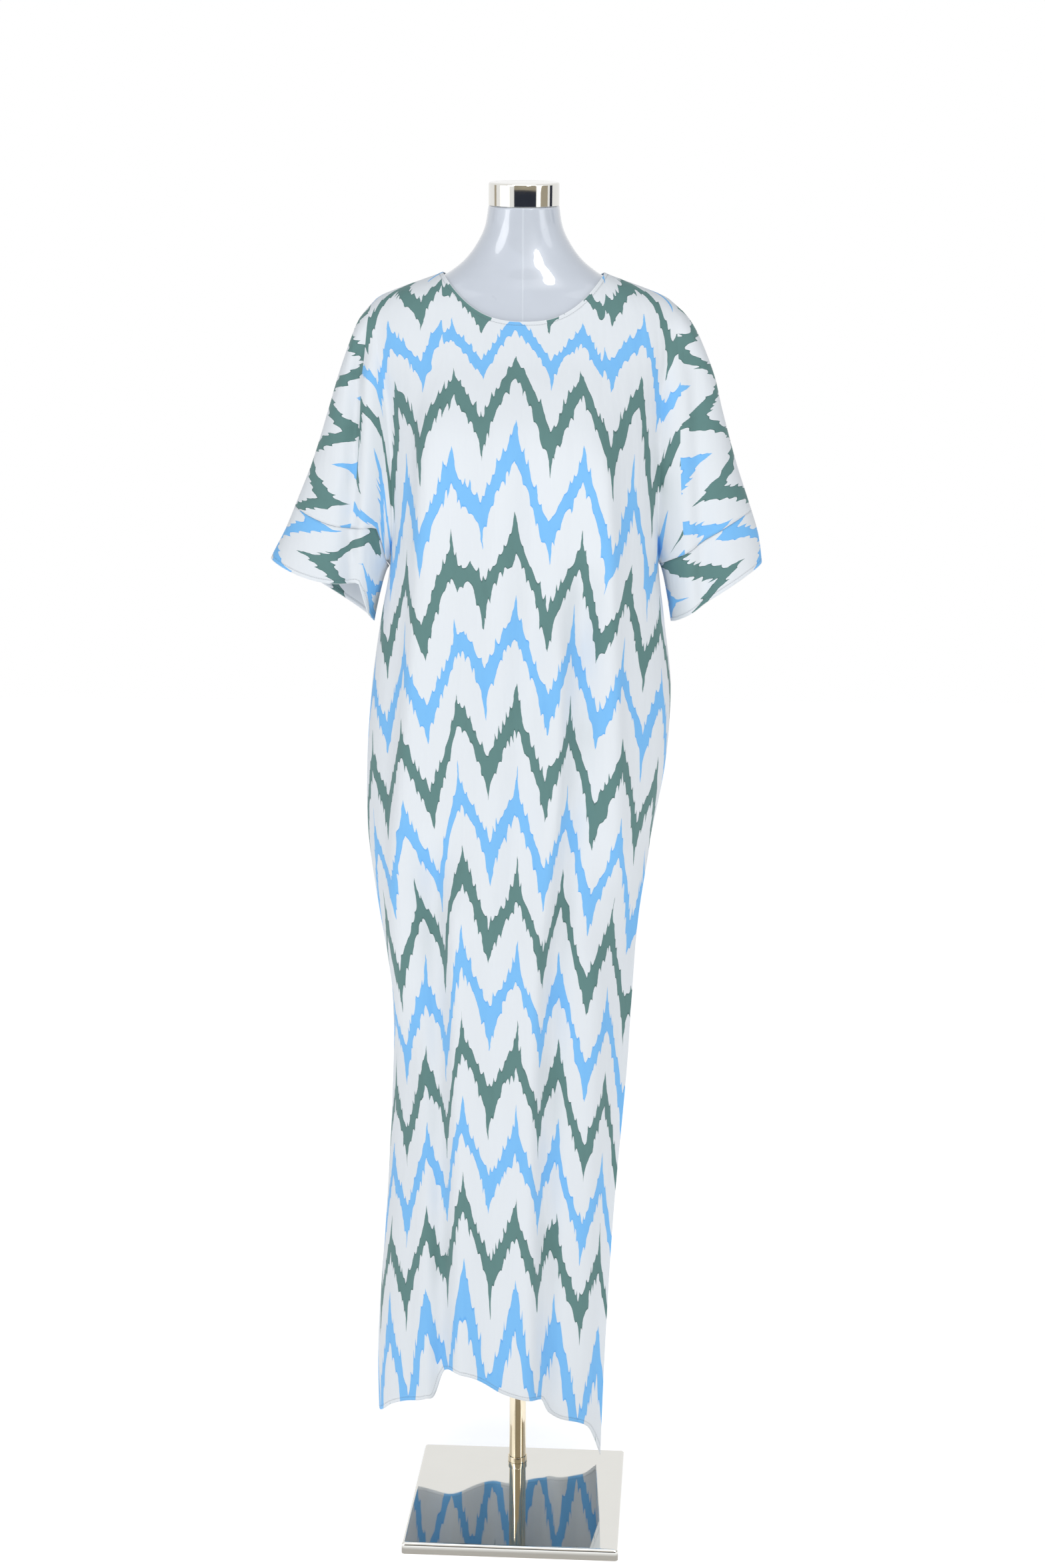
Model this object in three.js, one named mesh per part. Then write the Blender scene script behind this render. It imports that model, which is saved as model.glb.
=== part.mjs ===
// A long kaftan with batwing sleeves, worn by a limbless dress form on a steel stand.
// Millimetres, +Z up. The front faces -Y and +X is to the viewer's right. The origin
// is on the floor, under the axis of the stand's pole.

import * as THREE from 'three';

// Driving dimensions of the kaftan
const WALL = 1.6; // thickness of the cloth's wall
const SEAM_GAP = 0.3; // between two pieces at a seam
const ARMHOLE_GAP = 0.8; // sideways, between the body and a sleeve
const NECK_HALF = 103; // half width of the neck opening, at the shoulders
const NECK_FRONT_Z = 1567; // lowest point of the neckline in front
const NECK_BACK_Z = 1607; // and behind
const NECK_ROUND = 2.6; // how square the scoop of the neckline is
const BAND_WIDTH = 71; // band sewn to the end of each sleeve
const SHOULDER_HALF = 188; // where the body ends and the sleeve begins on the shoulder
const TUBE_PARTING = 1.7; // how far a band's inner edge stands off the body's side

// Driving dimensions of the dress form and its stand
const SEAT_GAP = 1.4; // between the form and the inside of the cloth that lies on it
const SHELL = 4; // thickness of the form's plastic
const NECK_TOP_Z = 1711;
const NECK_TILT = 0.096; // the neck's top leans forward, in radians
const CAP = { radius: 45, height: 29, edge: 3 };
const POLE_RADIUS = 11.5;
const COLLAR = { radius: 13, height: 8, edge: 0.5 };
const BASE = { width: 280, depth: 306, back: 45, height: 15, corner: 5, edge: 6 };
const BASE_TURN = 0.065; // the plate stands turned under the form, in radians
const CLEAR = 0.3; // between hard pieces that meet

// Steps of the meshes
const NECK_COLUMNS = 7; // from the centre line to the side of the neck
const SHOULDER_COLUMNS = 10; // from there to the side of the body
const SLEEVE_COLUMNS = 8; // from the side of the body to the sleeve's outer edge
const YOKE_ROWS = 13; // from the shoulder to the underarm
const SKIRT_ROWS = 13; // from the underarm to the hem
const BAND_ROWS = 3;
const FORM_SEGMENTS = 12; // round one half of the form

// The dress form's sections, from its open bottom to the top of the neck
const FORM_SECTIONS = [
  { z: 905, half: 168, front: 102, back: 108 },
  { z: 960, half: 174, front: 107, back: 117 },
  { z: 1020, half: 172, front: 107, back: 118 },
  { z: 1100, half: 157, front: 101, back: 108 },
  { z: 1180, half: 136, front: 90, back: 92 },
  { z: 1240, half: 127, front: 84, back: 80 },
  { z: 1300, half: 132, front: 90, back: 80 },
  { z: 1360, half: 144, front: 104, back: 84 },
  { z: 1420, half: 160, front: 116, back: 90 },
  { z: 1470, half: 174, front: 106, back: 92 },
  { z: 1520, half: 190, front: 88, back: 86 },
  { z: 1555, half: 199, front: 74, back: 78 },
  { z: 1575, half: 197, front: 66, back: 72 },
  { z: 1586, half: 190, front: 62, back: 67 },
  { z: 1596, half: 177, front: 58, back: 63 },
  { z: 1607, half: 150, front: 54, back: 60 },
  { z: 1617, half: 122, front: 52, back: 58 },
  { z: 1625, half: 101, front: 51, back: 57 },
  { z: 1633, half: 88, front: 50, back: 55 },
  { z: 1645, half: 74, front: 48, back: 52 },
  { z: 1662, half: 61, front: 46, back: 49 },
  { z: 1684, half: 50, front: 45, back: 46 },
  { z: 1711, half: 45, front: 45, back: 45 },
];

// Side edges of the body, and how far the cloth hangs from the centre plane
const BODY_SECTIONS = [
  { z: 40, left: -190, right: 111, front: 147, back: 138 },
  { z: 200, left: -191, right: 116, front: 143, back: 136 },
  { z: 400, left: -178, right: 126, front: 138, back: 133 },
  { z: 600, left: -168, right: 142, front: 135, back: 130 },
  { z: 690, left: -168, right: 147, front: 133, back: 128 },
  { z: 800, left: -187, right: 155, front: 131, back: 127 },
  { z: 900, left: -201, right: 172, front: 130, back: 127 },
  { z: 1000, left: -202, right: 190, front: 129, back: 127 },
  { z: 1100, left: -195, right: 195, front: 127, back: 122 },
  { z: 1180, left: -184, right: 186, front: 126, back: 116 },
  { z: 1256, left: -171, right: 177, front: 127, back: 110 },
  { z: 1330, left: -168, right: 176, front: 129, back: 107 },
  { z: 1400, left: -170, right: 177, front: 129, back: 104 },
  { z: 1450, left: -174, right: 179, front: 116, back: 98 },
  { z: 1500, left: -179, right: 182, front: 84, back: 82 },
  { z: 1545, left: -185, right: 186, front: 30, back: 34 },
  { z: 1590, left: -188, right: 188, front: 0, back: 0 },
];

// Outer edges of the sleeves, with half the sleeve's depth from front to back
const SLEEVE_SECTIONS = [
  { z: 1250, left: -329, right: 312, depth: 47 },
  { z: 1263, left: -326, right: 311, depth: 47 },
  { z: 1300, left: -307, right: 305, depth: 46 },
  { z: 1340, left: -290, right: 292, depth: 45 },
  { z: 1390, left: -270, right: 275, depth: 44 },
  { z: 1457, left: -249, right: 256, depth: 42 },
  { z: 1500, left: -236, right: 245, depth: 40 },
  { z: 1545, left: -220, right: 227, depth: 36 },
  { z: 1568, left: -210, right: 214, depth: 34 },
  { z: 1580, left: -201, right: 204, depth: 32 },
];

// Inner edge of each band, and the height of the cuff at the band's two edges
const CUFFS = {
  left: { underarmZ: 1253, innerX: -191, innerZ: 1181, outerZ: 1263, step: 56 },
  right: { underarmZ: 1258, innerX: 193, innerZ: 1183, outerZ: 1261, step: 0 },
};

// Height of the hem, from the left side (-1) to the right side (1)
const HEM = [
  { at: -1, front: 100, back: 100 },
  { at: -0.85, front: 133, back: 96 },
  { at: -0.55, front: 156, back: 118 },
  { at: -0.47, front: 160, back: 122 },
  { at: -0.38, front: 196, back: 124 },
  { at: -0.15, front: 201, back: 118 },
  { at: 0.1, front: 175, back: 112 },
  { at: 0.44, front: 158, back: 106 },
  { at: 0.52, front: 136, back: 100 },
  { at: 0.85, front: 110, back: 82 },
  { at: 1, front: 62, back: 62 },
];

// The largest folds: out is how far each one stands out, and falls in where it is
// negative, and lean is how far its crest is pushed sideways. A fold follows x and z.
const FRONT_FOLDS = [
  {
    out: 15, width: 22, lean: -15,
    path: [[1470, -104], [1400, -113], [1180, -125], [925, -147], [645, -160]],
  },
  { out: -8, width: 20, lean: 0, path: [[1420, -142], [1180, -152], [940, -176]] },
  { out: 13, width: 22, lean: 10, path: [[1420, 92], [1295, 102], [1080, 110], [880, 118]] },
  {
    out: -22, width: 18, lean: 0,
    path: [[1260, 76], [1170, 71], [985, 69], [755, 47], [545, 38], [60, 38]],
  },
  { out: 12, width: 22, lean: 8, path: [[1180, 38], [985, 36], [755, 12], [545, 4], [60, 6]] },
  { out: -22, width: 18, lean: 0, path: [[900, -112], [700, -106], [400, -101], [60, -99]] },
  { out: 12, width: 22, lean: -9, path: [[860, -74], [650, -72], [400, -68], [60, -66]] },
  { out: 10, width: 18, lean: 4, path: [[760, 98], [590, 96], [300, 94], [60, 92]] },
  { out: 7, width: 26, lean: 0, path: [[1500, -24], [1300, -32], [1000, -38], [800, -40]] },
  { out: -7, width: 24, lean: 0, path: [[1400, 18], [1200, 12], [900, 0], [800, -8]] },
  { out: -9, width: 20, lean: 0, path: [[660, -150], [400, -146], [60, -150]] },
];
const BACK_FOLDS = [
  { out: 13, width: 24, lean: -10, path: [[1450, -88], [1180, -104], [900, -122], [60, -128]] },
  { out: -12, width: 19, lean: 0, path: [[1330, -62], [1000, -74], [700, -84], [60, -90]] },
  { out: 12, width: 26, lean: 8, path: [[1200, -22], [900, -34], [600, -44], [60, -50]] },
  { out: -11, width: 20, lean: 0, path: [[1080, 22], [800, 8], [500, -6], [60, -12]] },
  { out: 13, width: 24, lean: 9, path: [[1400, 64], [1100, 62], [800, 48], [400, 34], [60, 28]] },
  { out: -12, width: 18, lean: 0, path: [[1300, 108], [1050, 108], [800, 92], [400, 70], [60, 64]] },
  { out: 9, width: 20, lean: 3, path: [[1180, 146], [980, 142], [760, 118], [400, 96], [60, 88]] },
];
const SLEEVE_FOLDS = [
  { out: -14, width: 15, lean: 0, path: [[1565, -203], [1480, -208], [1300, -216], [1180, -216]] },
  { out: 10, width: 16, lean: -8, path: [[1540, -188], [1440, -192], [1300, -197], [1170, -200]] },
  { out: -9, width: 17, lean: 0, path: [[1545, 208], [1420, 214], [1300, 226], [1190, 232]] },
  { out: 7, width: 18, lean: 6, path: [[1520, 196], [1400, 204], [1260, 208], [1180, 210]] },
];
const FOLD_FADE = 90; // a fold fades in and out over this height
const SLEEVE_OPEN = 0.55; // how far a sleeve's section reaches in past the body's side
const SECTION_POWER = 2.25; // how square the body's sections are

// Reads a table: a smooth curve through its rows, by the named column
function sampler(rows, key) {
  const last = rows.length - 1;
  const slope = (i, column) => {
    const before = rows[Math.max(i - 1, 0)];
    const after = rows[Math.min(i + 1, last)];
    return (after[column] - before[column]) / (after[key] - before[key]);
  };
  return (at, column) => {
    if (at <= rows[0][key]) return rows[0][column];
    if (at >= rows[last][key]) return rows[last][column];
    let i = 0;
    while (rows[i + 1][key] < at) i += 1;
    const span = rows[i + 1][key] - rows[i][key];
    const t = (at - rows[i][key]) / span;
    const rise = rows[i + 1][column] - rows[i][column];
    const start = slope(i, column) * span;
    const end = slope(i + 1, column) * span;
    return rows[i][column] + t * (start + t * (3 * rise - 2 * start - end + t * (start + end - 2 * rise)));
  };
}

const form = sampler(FORM_SECTIONS, 'z');
const body = sampler(BODY_SECTIONS, 'z');
const sleeve = sampler(SLEEVE_SECTIONS, 'z');
const hem = sampler(HEM, 'at');

const lerp = THREE.MathUtils.lerp;
const smooth = (value, from, to) => THREE.MathUtils.smoothstep(value, from, to);
const oval = (at, power) => Math.max(1 - Math.abs(at) ** power, 0) ** (1 / power);
const join = (a, b, power) => (a ** power + b ** power) ** (1 / power);

// Depth of the surface on which the cloth lies: the form's own, moved out and up
function support(x, z, face) {
  const off = WALL + SEAT_GAP;
  return (form(z - off, face) + off) * oval(x / (form(z - off, 'half') + off), SECTION_POWER);
}

// Height of the shoulder line at a distance from the centre line
function shoulderHeight(x) {
  const off = WALL + SEAT_GAP;
  let low = 1560;
  let high = 1650;
  for (let step = 0; step < 40; step += 1) {
    const middle = (low + high) / 2;
    if (form(middle - off, 'half') + off > Math.abs(x)) low = middle;
    else high = middle;
  }
  return low;
}

// Where a fold's path is at one height, and how much of the fold is there
function foldAt(fold, z) {
  const path = fold.path;
  const last = path.length - 1;
  let i = 0;
  while (i < last - 1 && path[i + 1][0] > z) i += 1;
  const t = THREE.MathUtils.clamp((path[i][0] - z) / (path[i][0] - path[i + 1][0]), 0, 1);
  const fadeIn = smooth(path[0][0] + FOLD_FADE / 2 - z, 0, FOLD_FADE);
  const fadeOut = path[last][0] < 200 ? 1 : smooth(z - path[last][0] + FOLD_FADE / 2, 0, FOLD_FADE);
  return { x: lerp(path[i][1], path[i + 1][1], t), strength: fadeIn * fadeOut };
}

// Sum of the folds at a point: outward push and sideways push
function foldPush(folds, x, z) {
  const push = { out: 0, side: 0 };
  for (const fold of folds) {
    const at = foldAt(fold, z);
    const bump = Math.exp(-(((x - at.x) / fold.width) ** 2)) * at.strength;
    push.out += fold.out * bump;
    push.side += fold.lean * bump;
  }
  return push;
}

const SHOULDER_Z = shoulderHeight(SHOULDER_HALF);
const NECK_POINT_Z = shoulderHeight(NECK_HALF);
const NECK_FRACTION = NECK_HALF / SHOULDER_HALF;
const rowDrop = (v) => v ** 2; // rows are close together near the shoulder line

// The line between body and sleeve, from shoulder to underarm, for v from 0 to 1
function innerLine(side, v) {
  const z = lerp(SHOULDER_Z, CUFFS[side].underarmZ, rowDrop(v));
  return { x: body(z, side), z };
}

// The sleeve's outer edge, from the shoulder's tip to the band for v from 0 to 1,
// and on to the cuff for v from 1 to 2
function outerLine(side, v) {
  const top = SLEEVE_SECTIONS[SLEEVE_SECTIONS.length - 1].z;
  const seam = CUFFS[side].outerZ + BAND_WIDTH * 0.96;
  const z = v <= 1 ? lerp(top, seam, rowDrop(v)) : lerp(seam, CUFFS[side].outerZ, v - 1);
  return { x: sleeve(z, side), z };
}

// How deep the sleeve is, as a part of its full depth, across it: q is 0 at the body's
// side and 1 at the outer edge, and above the underarm the sleeve is open to the body
function sleeveOval(q, v) {
  const reach = SLEEVE_OPEN * (1 - smooth(v, 0.62, 1));
  return oval(1 - (2 * (q + reach)) / (1 + reach), SECTION_POWER);
}

// A quarter round of the sleeve's depth, below the shoulder line
function shoulderRound(drop, depth) {
  return drop < depth ? Math.sqrt(Math.max(drop, 0) * (2 * depth - drop)) : depth;
}

// One point of the body's cloth. f runs from -1 at the left side to 1 at the right one.
// v runs from 0 at the top to 1 at the underarm, and w on from 0 there to 1 at the hem.
function bodyPoint(face, f, v, w) {
  const side = f < 0 ? 'left' : 'right';
  const underarmZ = lerp(CUFFS.left.underarmZ, CUFFS.right.underarmZ, (f + 1) / 2);
  const topX = f * SHOULDER_HALF;
  const neckZ = face === 'front' ? NECK_FRONT_Z : NECK_BACK_Z;
  const inNeck = Math.abs(f) < NECK_FRACTION;
  const scoop = (Math.abs(f) / NECK_FRACTION) ** NECK_ROUND;
  const topZ = inNeck ? lerp(neckZ, NECK_POINT_Z, scoop) : shoulderHeight(topX);
  const z = w > 0 ? lerp(underarmZ, hem(f, face), w) : lerp(topZ, underarmZ, rowDrop(v));
  const left = body(z, 'left');
  const right = body(z, 'right');
  const x = lerp(left, right, (f + 1) / 2);
  const round = oval(f, SECTION_POWER);
  const push = foldPush(face === 'front' ? FRONT_FOLDS : BACK_FOLDS, x, z);
  const reach = w > 0 ? 0 : sleeveReach(side, f, x, z, v);
  const hang = Math.max(body(z, face) + push.out, 0) * round;
  const lean = push.side * round * smooth(1560 - z, 0, 120);
  const depth = join(support(x + lean, z, face), join(hang, reach, 5), 8);
  return { x: x + lean, depth, z };
}

// What the sleeve's section adds inside the body's side
function sleeveReach(side, f, x, z, v) {
  const inner = body(z, side);
  const outer = outerLine(side, v).x;
  const q = (x - inner) / (outer - inner);
  if (q <= -SLEEVE_OPEN) return 0;
  const drop = shoulderHeight(Math.min(Math.abs(x), SHOULDER_HALF)) - z;
  return sleeveOval(q, v) * shoulderRound(drop, sleeve(z, 'depth'));
}

// One point of a sleeve: q from 0 at the body's side to 1 at the outer edge,
// v from 0 at the shoulder to 1 at the band's seam and 2 at the cuff
function sleevePoint(face, side, q, v) {
  const cuff = CUFFS[side];
  const outer = outerLine(side, v);
  const inner = innerLine(side, Math.min(v, 1));
  if (v > 1) {
    inner.z = lerp(cuff.underarmZ, cuff.innerZ, v - 1);
    inner.x = lerp(inner.x, cuff.innerX, (v - 1) ** 0.7);
  }
  const lift = smooth(q, 0, 0.12) * (1 - q) ** 2 * Math.min(v, 1) ** 2;
  const hang = face === 'front' ? cuff.step * lift : 0;
  const z = lerp(inner.z, outer.z, q) + hang;
  const x = lerp(inner.x, outer.x, q);
  const drop = lerp(SHOULDER_Z, SLEEVE_SECTIONS[SLEEVE_SECTIONS.length - 1].z, q) - z;
  const section = sleeveOval(q, v);
  const push = foldPush(face === 'front' ? SLEEVE_FOLDS : [], x, z);
  const edge = oval(2 * q - 1, SECTION_POWER);
  const round = shoulderRound(drop, sleeve(z, 'depth')) * section;
  const depth = Math.max(round + push.out * edge * smooth(drop, 0, 80), 0);
  const lean = push.side * edge * smooth(drop, 0, 120);
  return { x: x + lean, depth: v > 1 ? depth : join(depth, support(x, z, face), 8), z };
}

// Normals of an open sheet. Those in flat stay in the plane of a seam, and those in
// fixed are given.
function sheetNormals(points, faces, flat, fixed) {
  const normals = points.map(() => new THREE.Vector3());
  for (const [a, b, c] of faces) {
    const normal = new THREE.Vector3().subVectors(points[b], points[a])
      .cross(new THREE.Vector3().subVectors(points[c], points[a]));
    for (const corner of [a, b, c]) normals[corner].add(normal);
  }
  for (const corner of flat) normals[corner].y = 0;
  for (const [corner, normal] of fixed) normals[corner].copy(normal);
  return normals.map((normal) => normal.normalize());
}

// Gives some faces of an open sheet their thickness: an inner copy of their points,
// moved along the normals, and a rim along each free edge
function thicken(points, faces, normals) {
  const used = [...new Set(faces.flat())];
  const place = new Map(used.map((corner, i) => [corner, i]));
  const count = used.length;
  const outer = used.map((corner) => points[corner]);
  const inner = used.map((corner) => points[corner].clone().addScaledVector(normals[corner], -WALL));
  const local = faces.map((face) => face.map((corner) => place.get(corner)));
  const triangles = local.flatMap(([a, b, c]) => [a, b, c, c + count, b + count, a + count]);
  const edges = new Map();
  for (const [a, b, c] of local) {
    for (const [from, to] of [[a, b], [b, c], [c, a]]) edges.set(`${from},${to}`, [from, to]);
  }
  for (const [from, to] of edges.values()) {
    if (!edges.has(`${to},${from}`)) triangles.push(to, from, from + count, to, from + count, to + count);
  }
  return closedGeometry([...outer, ...inner], triangles);
}

function closedGeometry(points, triangles) {
  const geometry = new THREE.BufferGeometry();
  const position = points.flatMap((point) => [point.x, point.y, point.z]);
  geometry.setAttribute('position', new THREE.Float32BufferAttribute(position, 3));
  geometry.setIndex(triangles);
  geometry.computeVertexNormals();
  return geometry;
}

// Splits the cells of a grid of point numbers into triangles that face out
function gridFaces(grid, faces, flip) {
  for (let row = 0; row + 1 < grid.length; row += 1) {
    for (let column = 0; column + 1 < grid[row].length; column += 1) {
      const a = grid[row][column];
      const b = grid[row][column + 1];
      const c = grid[row + 1][column + 1];
      const d = grid[row + 1][column];
      if (flip) faces.push([a, b, c], [a, c, d]);
      else faces.push([a, c, b], [a, d, c]);
    }
  }
}

// The columns of the body's cloth, closer together at the sides of the neck and body
function bodyColumns() {
  const columns = [];
  const neckTurn = Math.asin(NECK_FRACTION);
  for (let i = 0; i <= NECK_COLUMNS; i += 1) {
    columns.push(NECK_FRACTION * Math.sin((Math.PI / 2) * (i / NECK_COLUMNS)));
  }
  for (let i = 1; i <= SHOULDER_COLUMNS; i += 1) {
    columns.push(Math.sin(lerp(neckTurn, Math.PI / 2, i / SHOULDER_COLUMNS)));
  }
  return [...columns.slice(1).reverse().map((f) => -f), ...columns];
}

// Front or back of the kaftan: the body's panel and the two sleeves that go on from it.
// The three share their normals, so that their edges at the armholes are parallel.
function faceGeometries(face) {
  const sign = face === 'front' ? -1 : 1;
  const points = [];
  const seam = [];
  const fixed = [];
  const place = ({ x, depth, z }, onSeam) => {
    const out = onSeam ? SEAM_GAP / 2 : Math.max(depth, SEAM_GAP / 2);
    points.push(new THREE.Vector3(x, sign * out, z));
    if (onSeam) seam.push(points.length - 1);
    return points.length - 1;
  };
  const columns = bodyColumns();
  const last = columns.length - 1;
  const rows = [];
  for (let row = 0; row <= YOKE_ROWS + SKIRT_ROWS; row += 1) {
    const v = Math.min(row / YOKE_ROWS, 1);
    const w = Math.max(row - YOKE_ROWS, 0) / SKIRT_ROWS;
    rows.push(columns.map((f, i) => {
      const atShoulder = row === 0 && Math.abs(f) >= NECK_FRACTION - 1e-9;
      const atSide = row >= YOKE_ROWS && (i === 0 || i === last);
      return place(bodyPoint(face, f, v, w), atShoulder || atSide);
    }));
  }
  for (const i of [0, last]) fixed.push([rows[YOKE_ROWS][i], new THREE.Vector3(0, 0, -1)]);
  const faces = { panel: [], left: [], right: [] };
  gridFaces(rows, faces.panel, face === 'back');
  for (const side of ['left', 'right']) {
    const grid = [];
    for (let row = 0; row <= YOKE_ROWS; row += 1) {
      const line = [rows[row][side === 'left' ? 0 : last]];
      for (let k = 1; k <= SLEEVE_COLUMNS; k += 1) {
        const q = Math.sin((Math.PI / 2) * (k / SLEEVE_COLUMNS)) ** 1.15;
        const onSeam = row === 0 || k === SLEEVE_COLUMNS;
        line.push(place(sleevePoint(face, side, q, row / YOKE_ROWS), onSeam));
      }
      grid.push(side === 'left' ? line.reverse() : line);
    }
    gridFaces(grid, faces[side], face === 'back');
  }
  const normals = sheetNormals(points, Object.values(faces).flat(), seam, fixed);
  const aside = (distance) => points.map(({ x, y, z }) => new THREE.Vector3(x + distance, y, z));
  return {
    panel: thicken(points, faces.panel, normals),
    left: thicken(aside(-ARMHOLE_GAP), faces.left, normals),
    right: thicken(aside(ARMHOLE_GAP), faces.right, normals),
  };
}

// The band at the end of a sleeve: a ring of cloth from the seam to the cuff
function bandGeometry(side) {
  const points = [];
  const rows = [];
  const around = [];
  for (let k = 0; k <= SLEEVE_COLUMNS; k += 1) around.push({ face: 'front', turn: k / SLEEVE_COLUMNS });
  for (let k = SLEEVE_COLUMNS - 1; k > 0; k -= 1) around.push({ face: 'back', turn: k / SLEEVE_COLUMNS });
  const outward = side === 'left' ? -1 : 1;
  for (let row = 0; row <= BAND_ROWS; row += 1) {
    const line = around.map(({ face, turn }) => {
      const q = Math.sin((Math.PI / 2) * turn) ** 1.15;
      const { x, depth, z } = sleevePoint(face, side, q, 1 + row / BAND_ROWS);
      const parting = outward * TUBE_PARTING * (1 - q);
      const y = (face === 'front' ? -1 : 1) * (turn === 0 || turn === 1 ? 0 : depth);
      points.push(new THREE.Vector3(x + parting, y, z - SEAM_GAP - (row === 0 ? CLEAR : 0)));
      return points.length - 1;
    });
    rows.push([...line, line[0]]);
  }
  const faces = [];
  gridFaces(rows, faces, side === 'left');
  return thicken(points, faces, sheetNormals(points, faces, [], []));
}

// Half a ring of the form's shell, from its front seam round one side to its back seam;
// inset moves it to the inside of the plastic
function formArc(z, inset, side) {
  const arc = [];
  const outward = side === 'left' ? -1 : 1;
  const lean = smooth(z, 1650, NECK_TOP_Z) * Math.tan(NECK_TILT);
  for (let i = 0; i <= FORM_SEGMENTS; i += 1) {
    const angle = Math.PI * (i / FORM_SEGMENTS - 0.5);
    const cosine = Math.max(Math.cos(angle), 0);
    const sine = Math.sin(angle);
    const face = sine < 0 ? 'front' : 'back';
    const x = Math.max((form(z, 'half') - inset) * cosine ** (2 / SECTION_POWER), SEAM_GAP / 2);
    const y = (form(z, face) - inset) * Math.sign(sine) * Math.abs(sine) ** (2 / SECTION_POWER);
    arc.push(new THREE.Vector3(outward * x, y, z + y * lean));
  }
  return arc;
}

// One half of the torso and neck, as it is moulded: a shell, open below, with half of
// the hole for the pole on top. The two halves meet at the front and at the back.
function formGeometry(side) {
  const outside = FORM_SECTIONS.map(({ z }) => formArc(z, 0, side));
  const inside = FORM_SECTIONS.map(({ z }) => formArc(z, SHELL, side));
  const top = outside.length - 1;
  for (const point of inside[top]) point.z -= SHELL;
  const hole = (arc) => arc.map((point) => {
    const spread = (POLE_RADIUS + CLEAR) / Math.hypot(point.x, point.y);
    const x = Math.sign(point.x) * Math.max(Math.abs(point.x) * spread, SEAM_GAP / 2);
    const y = point.y * spread;
    return new THREE.Vector3(x, y, point.z - (point.y - y) * Math.tan(NECK_TILT));
  });
  const outer = [...outside, hole(outside[top])];
  const inner = [...inside, hole(inside[top])];
  const loop = [...outer, ...[...inner].reverse()];
  const count = FORM_SEGMENTS + 1;
  const quads = [];
  for (let ring = 0; ring < loop.length; ring += 1) {
    const here = ring * count;
    const next = ((ring + 1) % loop.length) * count;
    for (let i = 0; i < FORM_SEGMENTS; i += 1) quads.push([here + i, here + i + 1, next + i + 1, next + i]);
  }
  for (let ring = 0; ring + 1 < outer.length; ring += 1) {
    const edge = [ring, ring + 1, loop.length - 2 - ring, loop.length - 1 - ring].map((at) => at * count);
    quads.push(edge);
    quads.push([...edge].reverse().map((corner) => corner + FORM_SEGMENTS));
  }
  const split = ([a, b, c, d]) => (side === 'right' ? [a, b, c, a, c, d] : [a, c, b, a, d, c]);
  return closedGeometry(loop.flat(), quads.flatMap(split));
}

// A turned disc with rounded edges, from z = 0 up, with or without a hole
function discGeometry({ radius, height, edge }, hole) {
  const profile = [];
  profile.push(new THREE.Vector2(hole, 0));
  profile.push(new THREE.Vector2(radius, 0));
  for (let i = 0; i <= 3; i += 1) {
    const angle = (Math.PI / 2) * (i / 3);
    const x = radius - edge + edge * Math.cos(angle);
    profile.push(new THREE.Vector2(x, height - edge + edge * Math.sin(angle)));
  }
  profile.push(new THREE.Vector2(hole, height));
  if (hole > 0) profile.push(new THREE.Vector2(hole, 0));
  const geometry = new THREE.LatheGeometry(profile, 32);
  return geometry.rotateX(Math.PI / 2);
}

function poleGeometry() {
  const top = NECK_TOP_Z - POLE_RADIUS * Math.tan(NECK_TILT) - CLEAR;
  const bottom = BASE.height + CLEAR;
  const geometry = new THREE.CylinderGeometry(POLE_RADIUS, POLE_RADIUS, top - bottom, 24);
  return geometry.rotateX(Math.PI / 2).translate(0, 0, (top + bottom) / 2);
}

// The base plate: rounded corners and a rounded upper edge, with a flat underside
function baseGeometry() {
  const { width, depth, height, corner, edge } = BASE;
  const outline = (inset) => {
    const half = width / 2 - inset;
    const rear = depth / 2 - inset;
    const r = corner - inset / 2;
    const corners = [
      { x: half - r, y: rear - r, from: 0 },
      { x: -half + r, y: rear - r, from: 1 },
      { x: -half + r, y: -rear + r, from: 2 },
      { x: half - r, y: -rear + r, from: 3 },
    ];
    return corners.flatMap(({ x, y, from }) => [0, 1, 2, 3].map((step) => {
      const angle = (Math.PI / 2) * (from + step / 3);
      return new THREE.Vector2(x + r * Math.cos(angle), y + r * Math.sin(angle));
    }));
  };
  const levels = [{ inset: 1, z: 0 }, { inset: 0, z: 1 }];
  for (let i = 0; i <= 4; i += 1) {
    const angle = (Math.PI / 2) * (i / 4);
    levels.push({ inset: edge * (1 - Math.cos(angle)), z: height - edge + edge * Math.sin(angle) });
  }
  const rings = levels.map(({ inset, z }) => outline(inset).map((p) => new THREE.Vector3(p.x, p.y, z)));
  const count = rings[0].length;
  const triangles = [];
  for (let level = 0; level + 1 < rings.length; level += 1) {
    for (let i = 0; i < count; i += 1) {
      const j = (i + 1) % count;
      const here = level * count;
      triangles.push(here + i, here + j, here + count + j, here + i, here + count + j, here + count + i);
    }
  }
  const top = (rings.length - 1) * count;
  for (let i = 1; i + 1 < count; i += 1) {
    triangles.push(0, i + 1, i);
    triangles.push(top, top + i, top + i + 1);
  }
  return closedGeometry(rings.flat(), triangles);
}

const cloth = { color: 0xe8eef3, roughness: 0.8, metalness: 0 };
const plastic = { color: 0xc8cdd6, roughness: 0.35, metalness: 0 };
const chrome = { color: 0xd9dde2, roughness: 0.08, metalness: 1 };

function piece(name, geometry, look) {
  const mesh = new THREE.Mesh(geometry, new THREE.MeshStandardMaterial(look));
  mesh.name = name;
  return mesh;
}

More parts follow.
